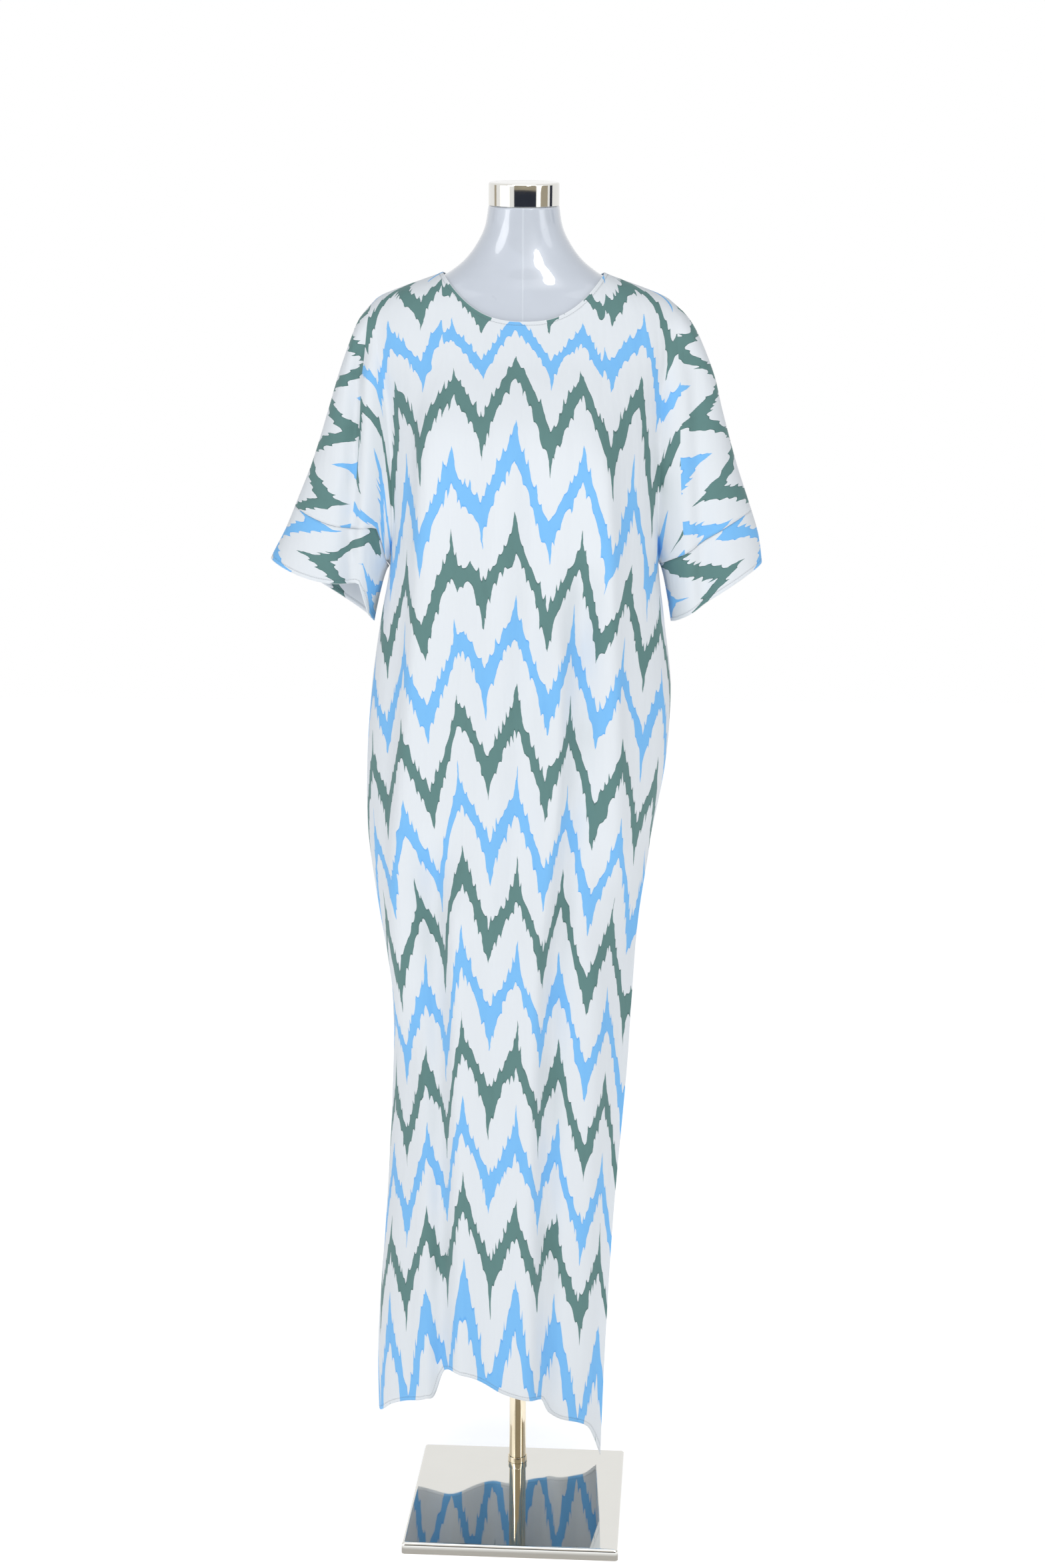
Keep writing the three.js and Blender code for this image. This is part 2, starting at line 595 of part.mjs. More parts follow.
const kaftan = new THREE.Group();
for (const face of ['front', 'back']) {
  const { panel, left, right } = faceGeometries(face);
  kaftan.add(piece(`${face}_panel`, panel, cloth));
  kaftan.add(piece(`${face}_sleeve_left`, left, cloth));
  kaftan.add(piece(`${face}_sleeve_right`, right, cloth));
}
for (const side of ['left', 'right']) {
  kaftan.add(piece(`sleeve_band_${side}`, bandGeometry(side), cloth));
}

const dressForm = new THREE.Group();
for (const side of ['left', 'right']) {
  dressForm.add(piece(`dress_form_${side}`, formGeometry(side), plastic));
}
const neckCap = piece('neck_cap', discGeometry(CAP, 0), chrome);
neckCap.position.z = NECK_TOP_Z + CLEAR;
neckCap.rotation.x = NECK_TILT;
dressForm.add(neckCap);

const stand = new THREE.Group();
stand.add(piece('pole', poleGeometry(), chrome));
const poleCollar = piece('pole_collar', discGeometry(COLLAR, POLE_RADIUS + CLEAR), chrome);
poleCollar.position.z = BASE.height + CLEAR;
stand.add(poleCollar);
const basePlate = piece('base_plate', baseGeometry(), chrome);
basePlate.position.y = BASE.back - BASE.depth / 2;
basePlate.rotation.z = -BASE_TURN;
stand.add(basePlate);

const part = new THREE.Group();
part.add(kaftan, dressForm, stand);

export default part;
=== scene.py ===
"""A printed kaftan on a limbless dress form, on its steel stand, in a white studio.

The frame gives the construction at its real size. This file gives each piece its fine
shape and finish. Shapes are worked out in millimetres, in the frame's own axes: +Z up,
the front towards -Y and +X to the viewer's right. They are placed in metres.
"""

import math

import bmesh
import bpy
import numpy as np
from bpy.props import FloatProperty, FloatVectorProperty, IntProperty, PointerProperty
from mathutils import Matrix, Vector


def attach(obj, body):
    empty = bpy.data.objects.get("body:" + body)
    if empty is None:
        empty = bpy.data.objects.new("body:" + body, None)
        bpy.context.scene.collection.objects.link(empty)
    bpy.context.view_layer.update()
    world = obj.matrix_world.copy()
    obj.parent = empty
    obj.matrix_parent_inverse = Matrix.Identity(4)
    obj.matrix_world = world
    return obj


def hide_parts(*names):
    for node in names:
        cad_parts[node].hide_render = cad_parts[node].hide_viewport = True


bl_info = {
    "name": "Kaftan on a dress form",
    "version": (1, 0, 0),
    "blender": (4, 5, 0),
    "location": "View3D > Sidebar > Kaftan",
    "description": "Builds a printed kaftan on a limbless dress form with its stand",
    "category": "Object",
}

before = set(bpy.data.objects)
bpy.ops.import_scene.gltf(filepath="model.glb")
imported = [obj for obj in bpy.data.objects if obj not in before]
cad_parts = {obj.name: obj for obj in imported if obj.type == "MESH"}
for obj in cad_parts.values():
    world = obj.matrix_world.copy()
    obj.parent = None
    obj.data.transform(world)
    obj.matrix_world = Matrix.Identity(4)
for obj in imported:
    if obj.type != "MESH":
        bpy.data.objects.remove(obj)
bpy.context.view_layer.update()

MM = 0.001

OUTWARD = {"front": -1, "back": 1, "left": -1, "right": 1}  # the way along y or x

# The cut of the kaftan, in millimetres
SEAM_OUT = 0.02  # a seam's edge stands this far off the centre plane
NECK_HALF = 103
NECK_FRONT_Z = 1567
NECK_BACK_Z = 1607
NECK_ROUND = 2.6
BAND_WIDTH = 71
BAND_OUT = 1.2  # how far a band's inner end stands off the sleeve
SHOULDER_HALF = 188
SEAT_GAP = 1.4  # between the form and the inside of the cloth
CAD_WALL = 1.6
SLEEVE_OPEN = 0.55  # how far a sleeve's section reaches in past the body's side
SECTION_POWER = 2.25  # how square the body's sections are
FOLD_FADE = 90  # a fold fades in and out over this height

# The dress form and its stand, in millimetres
NECK_TOP_Z = 1711
NECK_TILT = 0.096
SHELL = 4
CAP_RADIUS = 45
CAP_HEIGHT = 29
CAP_EDGE = 2.5  # radius of the cap's rounded upper edge
POLE_RADIUS = 11.5
COLLAR_RADIUS = 13
COLLAR_HEIGHT = 8
COLLAR_EDGE = 0.5
BASE_WIDTH = 280
BASE_DEPTH = 306
BASE_BACK = 45
BASE_HEIGHT = 15
BASE_CORNER = 5
BASE_RIM = 4.6  # radius of the plate's rounded upper edge
PLATE_SHADE_HEIGHT = 0.0125  # below this height, in metres, the plate's steel is painted darker: painted shade and a painted dark reflection on its sides
BASE_TURN = 0.065  # the plate stands turned under the form, in radians
CLEAR = 0.3

# Where the print's rows lie on the cut cloth, in millimetres
CUT_LENGTH = 1470  # from the shoulder to the hem
NECK_CUT = 78  # from the shoulder's level to the neckline, at the centre front
YOKE_PRESS = 0.71  # how much closer the rows stand above YOKE_LEVEL
YOKE_LEVEL = 155
HEM_LEVEL = 1335  # below this level the rows stand further apart
HEM_STRETCH = 0.4
SLEEVE_PRESS = 1.2  # how much closer the rows stand on the sleeves
SLEEVE_SHIFT = 66  # how far the first row is pushed out over a sleeve's outer edge
BAND_SHIFT = 43  # the same on a band, where the second row comes first
BAND_ACROSS = 540  # where a band is cut, across the cloth from its centre
YOKE_SOFT = 12  # how softly the rows begin to stand closer
NECK_LEVEL_ROUND = 1.8  # how round the print's start is along the neckline
NECK_CUT_BACK = 0.55  # the back's neckline is this much as deep as the front's
SLEEVE_SPLIT = {"left": 0.3, "right": 0.2}  # where the print breaks in a sleeve's valley

# How ragged the print's rows are, in metres
DRIFT = 0.010  # of the zigzags to the side
RIPPLE = 0.003  # the same, in short waves
WANDER = 0.016  # of the rows up and down
UNEVEN = 0.016  # of a row's thickness
SPIKE = 0.036  # a thin point that stands up from a tip
SPIKE_FOOT = 0.007
DRIP = 0.024  # a thin point that hangs from a dip
DRIP_FOOT = 0.014
POINT_SHARE = 0.12  # width of a thin point, as a part of half a zigzag
TOOTH = 0.0384  # length of the teeth, times a share from TOOTH_LEAST to TOOTH_MOST
TOOTH_LEAST = 0.04
TOOTH_MOST = 0.32

# Turned and stitched edges, in metres
STITCH_PITCH = 0.0031
STITCH_IN = 0.0046
HEM_IN = 0.0052
THREAD = 0.0007  # width of two threads of the weave

# How finely the cloth and the form are divided
YOKE_ROWS = 96
SKIRT_ROWS = 132
SLEEVE_COLUMNS = 34
BAND_ROWS = 24
COLUMN_CROWD = 1.15  # how much the sleeve's columns crowd together at its outer edge
FORM_BOTTOM_Z = 905
FORM_CROWD_Z = 1560  # above this height the form's sections stand closer together


def table(columns, *rows):
    """A table of numbers by the names of its columns."""
    return {name: np.array(values, float) for name, values in zip(columns.split(), zip(*rows))}


# The form's sections, from its open bottom to the top of the neck
FORM_SECTIONS = table(
    "z half front back",
    (905, 168, 102, 108),
    (960, 174, 107, 117),
    (1020, 172, 107, 118),
    (1100, 157, 101, 108),
    (1180, 136, 90, 92),
    (1240, 127, 84, 80),
    (1300, 132, 90, 80),
    (1360, 144, 104, 84),
    (1420, 160, 116, 90),
    (1470, 174, 106, 92),
    (1520, 190, 88, 86),
    (1555, 199, 74, 78),
    (1575, 197, 66, 72),
    (1586, 190, 62, 67),
    (1596, 177, 58, 63),
    (1607, 150, 54, 60),
    (1617, 122, 52, 58),
    (1625, 101, 51, 57),
    (1633, 88, 50, 55),
    (1645, 74, 48, 52),
    (1662, 61, 46, 49),
    (1684, 50, 45, 46),
    (1711, 45, 45, 45),
)

# Side edges of the body, and how far the cloth hangs from the centre plane
BODY_SECTIONS = table(
    "z left right front back",
    (40, -190, 111, 147, 138),
    (200, -191, 116, 143, 136),
    (400, -178, 126, 138, 133),
    (600, -168, 142, 135, 130),
    (690, -168, 147, 133, 128),
    (800, -187, 155, 131, 127),
    (900, -201, 172, 130, 127),
    (1000, -202, 190, 129, 127),
    (1100, -195, 195, 127, 122),
    (1180, -184, 186, 126, 116),
    (1256, -171, 177, 127, 110),
    (1330, -168, 176, 129, 107),
    (1400, -170, 177, 129, 104),
    (1450, -174, 179, 116, 98),
    (1500, -179, 182, 84, 82),
    (1545, -185, 186, 30, 34),
    (1590, -188, 188, 0, 0),
)

# Outer edges of the sleeves, with half the sleeve's depth from front to back
SLEEVE_SECTIONS = table(
    "z left right depth",
    (1250, -329, 312, 47),
    (1263, -326, 311, 47),
    (1300, -307, 305, 46),
    (1340, -290, 292, 45),
    (1390, -270, 275, 44),
    (1457, -249, 256, 42),
    (1500, -236, 245, 40),
    (1545, -220, 227, 36),
    (1568, -210, 214, 34),
    (1580, -201, 204, 32),
)

# Height of the hem, from the left side (-1) to the right side (1)
HEM = table(
    "at front back",
    (-1, 100, 100),
    (-0.85, 133, 96),
    (-0.55, 156, 118),
    (-0.47, 160, 122),
    (-0.38, 196, 124),
    (-0.15, 201, 118),
    (0.1, 175, 112),
    (0.44, 158, 106),
    (0.52, 136, 100),
    (0.85, 110, 82),
    (1, 62, 62),
)

# Inner edge of each band, and the height of the cuff at its two edges
CUFFS = {
    "left": {"underarm": 1253, "inner_x": -191, "inner_z": 1181, "outer_z": 1263, "step": 56},
    "right": {"underarm": 1258, "inner_x": 193, "inner_z": 1183, "outer_z": 1261, "step": 0},
}

# The largest folds: how far each stands out, its width, how far its crest is pushed
# sideways, and its path as pairs of z and x
FRONT_FOLDS = (
    (15, 22, -15, ((1470, -104), (1400, -113), (1180, -125), (925, -147), (645, -160))),
    (-8, 20, 0, ((1420, -142), (1180, -152), (940, -176))),
    (13, 22, 10, ((1420, 92), (1295, 102), (1080, 110), (880, 118))),
    (-22, 18, 0, ((1260, 76), (1170, 71), (985, 69), (755, 47), (545, 38), (60, 38))),
    (12, 22, 8, ((1180, 38), (985, 36), (755, 12), (545, 4), (60, 6))),
    (-22, 18, 0, ((900, -112), (700, -106), (400, -101), (60, -99))),
    (12, 22, -9, ((860, -74), (650, -72), (400, -68), (60, -66))),
    (10, 18, 4, ((760, 98), (590, 96), (300, 94), (60, 92))),
    (7, 26, 0, ((1500, -24), (1300, -32), (1000, -38), (800, -40))),
    (-7, 24, 0, ((1400, 18), (1200, 12), (900, 0), (800, -8))),
    (-9, 20, 0, ((660, -150), (400, -146), (60, -150))),
)
BACK_FOLDS = (
    (13, 24, -10, ((1450, -88), (1180, -104), (900, -122), (60, -128))),
    (-12, 19, 0, ((1330, -62), (1000, -74), (700, -84), (60, -90))),
    (12, 26, 8, ((1200, -22), (900, -34), (600, -44), (60, -50))),
    (-11, 20, 0, ((1080, 22), (800, 8), (500, -6), (60, -12))),
    (13, 24, 9, ((1400, 64), (1100, 62), (800, 48), (400, 34), (60, 28))),
    (-12, 18, 0, ((1300, 108), (1050, 108), (800, 92), (400, 70), (60, 64))),
    (9, 20, 3, ((1180, 146), (980, 142), (760, 118), (400, 96), (60, 88))),
)
SLEEVE_FOLDS = (
    (-14, 15, 0, ((1565, -203), (1480, -208), (1300, -216), (1180, -216))),
    (10, 16, -8, ((1540, -188), (1440, -192), (1300, -197), (1170, -200))),
    (-9, 17, 0, ((1545, 208), (1420, 214), (1300, 226), (1190, 232))),
    (7, 18, 6, ((1520, 196), (1400, 204), (1260, 208), (1180, 210))),
)

# How much closer the print's columns stand than the cloth's own width, by height
PRINT_PRESS = table(
    "z press centre",
    (60, 1.22, -4),
    (760, 1.18, -4),
    (1050, 1.08, -5),
    (1300, 1.0, -9),
)


def read(rows, key, column, at):
    """Reads a table: a smooth curve through its rows, by the named column."""
    keys, values = rows[key], rows[column]
    slopes = np.gradient(values, keys)
    slopes[1:-1] = (values[2:] - values[:-2]) / (keys[2:] - keys[:-2])
    at = np.clip(np.asarray(at, float), keys[0], keys[-1])
    i = np.clip(np.searchsorted(keys, at, side="right") - 1, 0, len(keys) - 2)
    span = keys[i + 1] - keys[i]
    t = (at - keys[i]) / span
    rise = values[i + 1] - values[i]
    start, end = slopes[i] * span, slopes[i + 1] * span
    return values[i] + t * (start + t * (3 * rise - 2 * start - end + t * (start + end - 2 * rise)))


def form_size(z, column):
    """Half width, front depth or back depth of the form at a height."""
    return read(FORM_SECTIONS, "z", column, z)


def body_size(z, column):
    """A side edge or a depth of the kaftan's body at a height."""
    return read(BODY_SECTIONS, "z", column, z)


def sleeve_size(z, column):
    """An outer edge or the depth of the sleeves at a height."""
    return read(SLEEVE_SECTIONS, "z", column, z)


def lerp(start, end, t):
    return start + (end - start) * t


def smooth(value, start, end):
    """Goes from 0 to 1 between start and end, with soft ends."""
    t = np.clip((value - start) / (end - start), 0, 1)
    return t * t * (3 - 2 * t)


def oval(at, power=SECTION_POWER):
    """Height of a squarish round, 1 at its middle and 0 at its ends."""
    return np.maximum(1 - np.abs(at) ** power, 0) ** (1 / power)


def join(a, b, power):
    """The larger of two depths, with a soft change from one to the other."""
    return (a**power + b**power) ** (1 / power)


def support(x, z, face):
    """Depth of the surface on which the cloth lies."""
    off = CAD_WALL + SEAT_GAP
    return (form_size(z - off, face) + off) * oval(x / (form_size(z - off, "half") + off))


def shoulder_height(x):
    """Height of the shoulder line at a distance from the centre line."""
    off = CAD_WALL + SEAT_GAP
    low = np.full(np.shape(x), 1560.0)
    high = np.full(np.shape(x), 1650.0)
    for _ in range(40):
        middle = (low + high) / 2
        inside = form_size(middle - off, "half") + off > np.abs(x)
        low = np.where(inside, middle, low)
        high = np.where(inside, high, middle)
    return low


SHOULDER_Z = float(shoulder_height(SHOULDER_HALF))
NECK_POINT_Z = float(shoulder_height(NECK_HALF))
NECK_FRACTION = NECK_HALF / SHOULDER_HALF


def fold_push(folds, x, z):
    """Sum of the folds at each point: outward push and sideways push."""
    out, side = np.zeros_like(x), np.zeros_like(x)
    for depth, width, lean, path in folds:
        heights, places = np.array(path, float).T
        at = np.interp(-z, -heights, places)
        strength = smooth(heights[0] + FOLD_FADE / 2 - z, 0, FOLD_FADE)
        if heights[-1] >= 200:
            strength = strength * smooth(z - heights[-1] + FOLD_FADE / 2, 0, FOLD_FADE)
        bump = np.exp(-(((x - at) / width) ** 2)) * strength
        out += depth * bump
        side += lean * bump
    return out, side


def outer_line(side, v):
    """The sleeve's outer edge for v from 0 at the shoulder to 1 at the band and 2 at the cuff."""
    cuff = CUFFS[side]
    top = SLEEVE_SECTIONS["z"][-1]
    seam = cuff["outer_z"] + BAND_WIDTH * 0.96
    z = np.where(v <= 1, lerp(top, seam, v**2), lerp(seam, cuff["outer_z"], v - 1))
    return sleeve_size(z, side), z


def sleeve_oval(q, v):
    """The sleeve's depth as a part of its full depth, across it and down it."""
    reach = SLEEVE_OPEN * (1 - smooth(v, 0.62, 1))
    return oval(1 - (2 * (q + reach)) / (1 + reach))


def shoulder_round(drop, depth):
    """A quarter round of the sleeve's depth, below the shoulder line."""
    rounded = np.sqrt(np.maximum(np.maximum(drop, 0) * (2 * depth - drop), 0))
    return np.where(drop < depth, rounded, depth)


def sleeve_reach(side, x, z, v):
    """What the sleeve's section adds inside the body's side."""
    inner = body_size(z, side)
    outer, _ = outer_line(side, v)
    q = (x - inner) / (outer - inner)
    drop = shoulder_height(np.minimum(np.abs(x), SHOULDER_HALF)) - z
    depth = sleeve_oval(q, v) * shoulder_round(drop, sleeve_size(z, "depth"))
    return np.where(q > -SLEEVE_OPEN, depth, 0)


def body_points(face, f, v, w):
    """Points of the body's cloth. f is -1 at the left side and 1 at the right one, v goes
    from 0 at the top to 1 at the underarm, and w on from 0 there to 1 at the hem."""
    underarm = lerp(CUFFS["left"]["underarm"], CUFFS["right"]["underarm"], (f + 1) / 2)
    neck_z = NECK_FRONT_Z if face == "front" else NECK_BACK_Z
    scoop = (np.abs(f) / NECK_FRACTION) ** NECK_ROUND
    in_neck = np.abs(f) < NECK_FRACTION
    top_z = np.where(in_neck, lerp(neck_z, NECK_POINT_Z, scoop), shoulder_height(f * SHOULDER_HALF))
    z = np.where(w > 0, lerp(underarm, read(HEM, "at", face, f), w), lerp(top_z, underarm, v**2))
    x = lerp(body_size(z, "left"), body_size(z, "right"), (f + 1) / 2)
    out, side = fold_push(FRONT_FOLDS if face == "front" else BACK_FOLDS, x, z)
    reach = np.where(f < 0, sleeve_reach("left", x, z, v), sleeve_reach("right", x, z, v))
    hang = np.maximum(body_size(z, face) + out, 0) * oval(f)
    lean = side * oval(f) * smooth(1560 - z, 0, 120)
    reach = np.where(w > 0, 0, reach)
    depth = join(support(x + lean, z, face), join(hang, reach, 5), 8)
    return x + lean, depth, z


def sleeve_points(face, side, q, v):
    """Points of a sleeve: q goes from 0 at the body's side to 1 at the outer edge, and v
    from 0 at the shoulder to 1 at the band's seam and 2 at the cuff."""
    cuff = CUFFS[side]
    outer_x, outer_z = outer_line(side, v)
    inner_z = lerp(SHOULDER_Z, cuff["underarm"], np.minimum(v, 1) ** 2)
    inner_x = body_size(inner_z, side)
    beyond = np.maximum(v - 1, 0)
    inner_z = lerp(inner_z, cuff["inner_z"], beyond)
    inner_x = lerp(inner_x, cuff["inner_x"], beyond**0.7)
    lift = smooth(q, 0, 0.12) * (1 - q) ** 2 * np.minimum(v, 1) ** 2
    z = lerp(inner_z, outer_z, q) + (cuff["step"] * lift if face == "front" else 0)
    x = lerp(inner_x, outer_x, q)
    drop = lerp(SHOULDER_Z, SLEEVE_SECTIONS["z"][-1], q) - z
    out, lean = fold_push(SLEEVE_FOLDS, x, z) if face == "front" else (0 * x, 0 * x)
    edge = oval(2 * q - 1)
    round_depth = shoulder_round(drop, sleeve_size(z, "depth")) * sleeve_oval(q, v)
    depth = np.maximum(round_depth + out * edge * smooth(drop, 0, 80), 0)
    depth = np.where(v > 1, depth, join(depth, support(x, z, face), 8))
    return x + lean * edge * smooth(drop, 0, 120), depth, z


def steps_along(*coordinates):
    """Distances from the first point of each line of points to the others."""
    steps = sum(np.diff(c, axis=-1) ** 2 for c in coordinates) ** 0.5
    return np.concatenate([np.zeros_like(steps[..., :1]), np.cumsum(steps, axis=-1)], axis=-1)


def srgb(red, green, blue):
    """A colour as a screen shows it, from 0 to 255, as scene-linear numbers."""
    return tuple(((c / 255 + 0.055) / 1.055) ** 2.4 for c in (red, green, blue))


def sign(operation, turned=False):
    """A method that works a field into a sum, as the last number where it is turned."""

    def method(field, *others):
        values = (*others, field) if turned else (field, *others)
        return field.finish.sum(operation, *values)

    return method


class Field:
    """A number, colour or vector that varies over a surface, with the signs of sums."""

    __add__ = sign("ADD")
    __radd__ = sign("ADD", turned=True)
    __sub__ = sign("SUBTRACT")
    __rsub__ = sign("SUBTRACT", turned=True)
    __mul__ = sign("MULTIPLY")
    __truediv__ = sign("DIVIDE")
    __pow__ = sign("POWER")
    __lt__ = sign("LESS_THAN")
    __abs__ = sign("ABSOLUTE")

    def __init__(self, finish, socket):
        self.finish = finish
        self.socket = socket

    def of(self, operation, *others):
        return self.finish.sum(operation, self, *others)


class Finish:
    """A material while its nodes are being put together."""

    def __init__(self, name):
        self.material = bpy.data.materials.new(name)
        self.material.use_nodes = True
        self.tree = self.material.node_tree
        self.tree.nodes.clear()

    def node(self, kind, settings=None, sockets=None, output=0):
        """Adds a node, sets it and joins its sockets; gives one of its outputs."""
        node = self.tree.nodes.new(kind)
        for name, value in (settings or {}).items():
            setattr(node, name, value)
        for name, value in (sockets or {}).items():
            if isinstance(value, Field):
                self.tree.links.new(value.socket, node.inputs[name])
            else:
                node.inputs[name].default_value = value
        return Field(self, node.outputs[output]) if len(node.outputs) else None

    def sum(self, operation, *values):
        return self.node("ShaderNodeMath", {"operation": operation}, dict(enumerate(values)))

    def soft_step(self, value, start, end):
        """Goes from 0 to 1 as value goes from start to end."""
        settings = {"interpolation_type": "SMOOTHSTEP"}
        return self.node("ShaderNodeMapRange", settings, {0: value, 1: start, 2: end})

    def mix(self, share, first, second):
        """A colour between two colours."""
        ends = [(*c, 1) if isinstance(c, tuple) else c for c in (first, second)]
        sockets = {0: share, 6: ends[0], 7: ends[1]}
        return self.node("ShaderNodeMix", {"data_type": "RGBA"}, sockets, 2)

    def flat_noise(self, x, y, scale, detail=1.0):
        """Noise that varies over two numbers."""
        at = self.node("ShaderNodeCombineXYZ", None, {0: x, 1: y})
        sockets = {"Vector": at, "Scale": scale, "Detail": detail, "Roughness": 0.5}
        return self.node("ShaderNodeTexNoise", {"noise_dimensions": "2D"}, sockets)

    def axes(self, vector):
        """The x, y and z of a vector."""
        split = self.node("ShaderNodeSeparateXYZ", None, {0: vector})
        return [Field(self, output) for output in split.socket.node.outputs]

    def noise(self, vector, scale, detail=2.0, roughness=0.5):
        sockets = {"Vector": vector, "Scale": scale, "Detail": detail, "Roughness": roughness}
        return self.node("ShaderNodeTexNoise", None, sockets)

    def place(self):
        """The point on the object, in metres."""
        return self.node("ShaderNodeTexCoord", output="Object")

    def stretched(self, vector, scale):
        settings = {"vector_type": "POINT"}
        return self.node("ShaderNodeMapping", settings, {"Vector": vector, "Scale": scale})

    def bump(self, height, distance, strength, under=None):
        sockets = {"Height": height, "Distance": distance, "Strength": strength}
        if under is not None:
            sockets["Normal"] = under
        return self.node("ShaderNodeBump", None, sockets)

    def surface(self, sockets):
        """Ends the material with one shader."""
        shader = self.node("ShaderNodeBsdfPrincipled", None, sockets)
        self.node("ShaderNodeOutputMaterial", {"target": "ALL"}, {"Surface": shader})
        return self.material


def amount(name, description, default, unit="NONE"):
    return FloatProperty(name=name, description=description, default=default, unit=unit)


def shade(name, description, *levels):
    """A colour property. Its default is given as a screen shows it."""
    return FloatVectorProperty(
        name=name, description=description, default=srgb(*levels), subtype="COLOR"
    )


class KaftanCloth(bpy.types.PropertyGroup):
    """Sizes and colours of the printed cloth."""

    thickness: amount("Thickness", "Thickness of the cloth", 0.0008, "LENGTH")
    zigzag: amount("Zigzag", "Width of one zigzag of the print", 0.084, "LENGTH")
    row: amount("Row", "Distance from one row of the print to the next", 0.1094, "LENGTH")
    swing: amount("Swing", "Height of a row's zigzags", 0.080, "LENGTH")
    stroke: amount("Stroke", "Height of a row's stroke", 0.024, "LENGTH")
    first_row: amount("First row", "Distance of the first row from the shoulder", 0.0045, "LENGTH")
    ground: shade("Ground", "Colour of the cloth", 227, 231, 235)
    blue: shade("Blue", "Colour of every second row", 124, 190, 243)
    green: shade("Grey-green", "Colour of the other rows", 96, 133, 130)


class KaftanForm(bpy.types.PropertyGroup):
    """Colours of the dress form and its stand."""

    plastic: shade("Plastic", "Colour of the form", 198, 204, 214)
    steel: shade("Steel", "Colour of the polished steel", 226, 225, 220)
    # The pole's chrome is tinted beige: a painted warm reflection of the room around the stand.
    pole: shade("Pole", "Colour of the pole's chrome", 232, 220, 196)
    segments: IntProperty(
        name="Segments", description="Segments round the form", default=96, min=24, max=256
    )


class KaftanStudio(bpy.types.PropertyGroup):
    """The studio's light and the camera."""

    sky: amount("Sky", "Strength of the even light", 0.35)
    side_light: amount("Side light", "Power of the large left light", 27, "POWER")
    front_light: amount("Front light", "Power of the round light above the camera", 15, "POWER")
    lens: amount("Lens", "Focal length in millimetres", 62)
    camera_place: FloatVectorProperty(
        name="Camera", description="Place of the camera",
        default=(0.002, -3.5, 1.614), unit="LENGTH",
    )
    camera_pitch: amount("Pitch", "How far the camera looks down", math.radians(10.5), "ROTATION")
    camera_roll: amount("Roll", "How far the camera leans", math.radians(0.3), "ROTATION")


def print_rows(cloth, settings):
    """Colour of the printed cloth: rows of ragged zigzags, every second row blue."""
    across, down, _ = cloth.axes(cloth.node("ShaderNodeUVMap", {"uv_map": "cut"}))
    drift = cloth.flat_noise(across, down, 9.0)
    wander = cloth.flat_noise(across + 3.7, down, 11.0)
    ripple = cloth.flat_noise(across, down + 5.1, 60.0, 2.0)
    across = across + (drift - 0.5) * DRIFT + (ripple - 0.5) * RIPPLE
    down = down + (wander - 0.5) * WANDER

    turn = across / settings.zigzag
    peak = abs(turn.of("FRACT") - 0.5) * 2
    level = (down + peak * settings.swing - settings.first_row) / settings.row
    number = level.of("ROUND")
    height = (level - number) * settings.row
    is_blue = abs((number / 2).of("FRACT") - 0.5) < 0.25

    def teeth(seed, width):
        """Pointed teeth with rounded gaps, as far as they stand out of a row's edge."""
        warp = cloth.flat_noise(across + seed, number * 0.37, 38.0)
        reach = cloth.flat_noise(across + seed, number * 0.53 + 7.1, 70.0)
        place = across / width + warp * 2.6 + number * 0.41 + seed
        cusp = 1 - abs((place * math.pi).of("SINE"))
        return cusp * (reach - 0.26).of("MAXIMUM", TOOTH_LEAST).of("MINIMUM", TOOTH_MOST) * TOOTH

    thick = cloth.flat_noise(across, down + 9.3, 24.0) - 0.5

    def point(away, long, foot_share, foot):
        """A thin point on a broad foot, where away is 0."""
        thin = (1 - away / POINT_SHARE).of("MAXIMUM", 0) ** 2 * (thick + 0.5) * long
        return thin + (1 - away / foot_share).of("MAXIMUM", 0) * foot

    body = settings.stroke / 2 + thick * UNEVEN
    above = height + body + teeth(0.0, 0.0074) + point(1 - peak, SPIKE, 0.45, SPIKE_FOOT)
    below = body + teeth(4.9, 0.0078) + point(peak, DRIP, 0.5, DRIP_FOOT) - height
    inside = above.of("MINIMUM", below)
    printed = cloth.soft_step(inside, -0.0002, 0.0002)
    outline = 1 - cloth.soft_step(inside, 0.0008, 0.0030)

    tone = cloth.flat_noise(across * 3.0, down, 22.0, 3.0)
    ink = cloth.mix(is_blue, tuple(settings.green), tuple(settings.blue))
    deep_green = tuple(c * 0.62 for c in settings.green)
    deep_blue = tuple(c * f for c, f in zip(settings.blue, (0.62, 0.8, 0.97)))
    deep = cloth.mix(is_blue, deep_green, deep_blue)
    share = (outline * 0.75 + (tone - 0.5) * 0.5).of("MAXIMUM", 0).of("MINIMUM", 1)
    return cloth.mix(printed, tuple(settings.ground), cloth.mix(share, ink, deep))


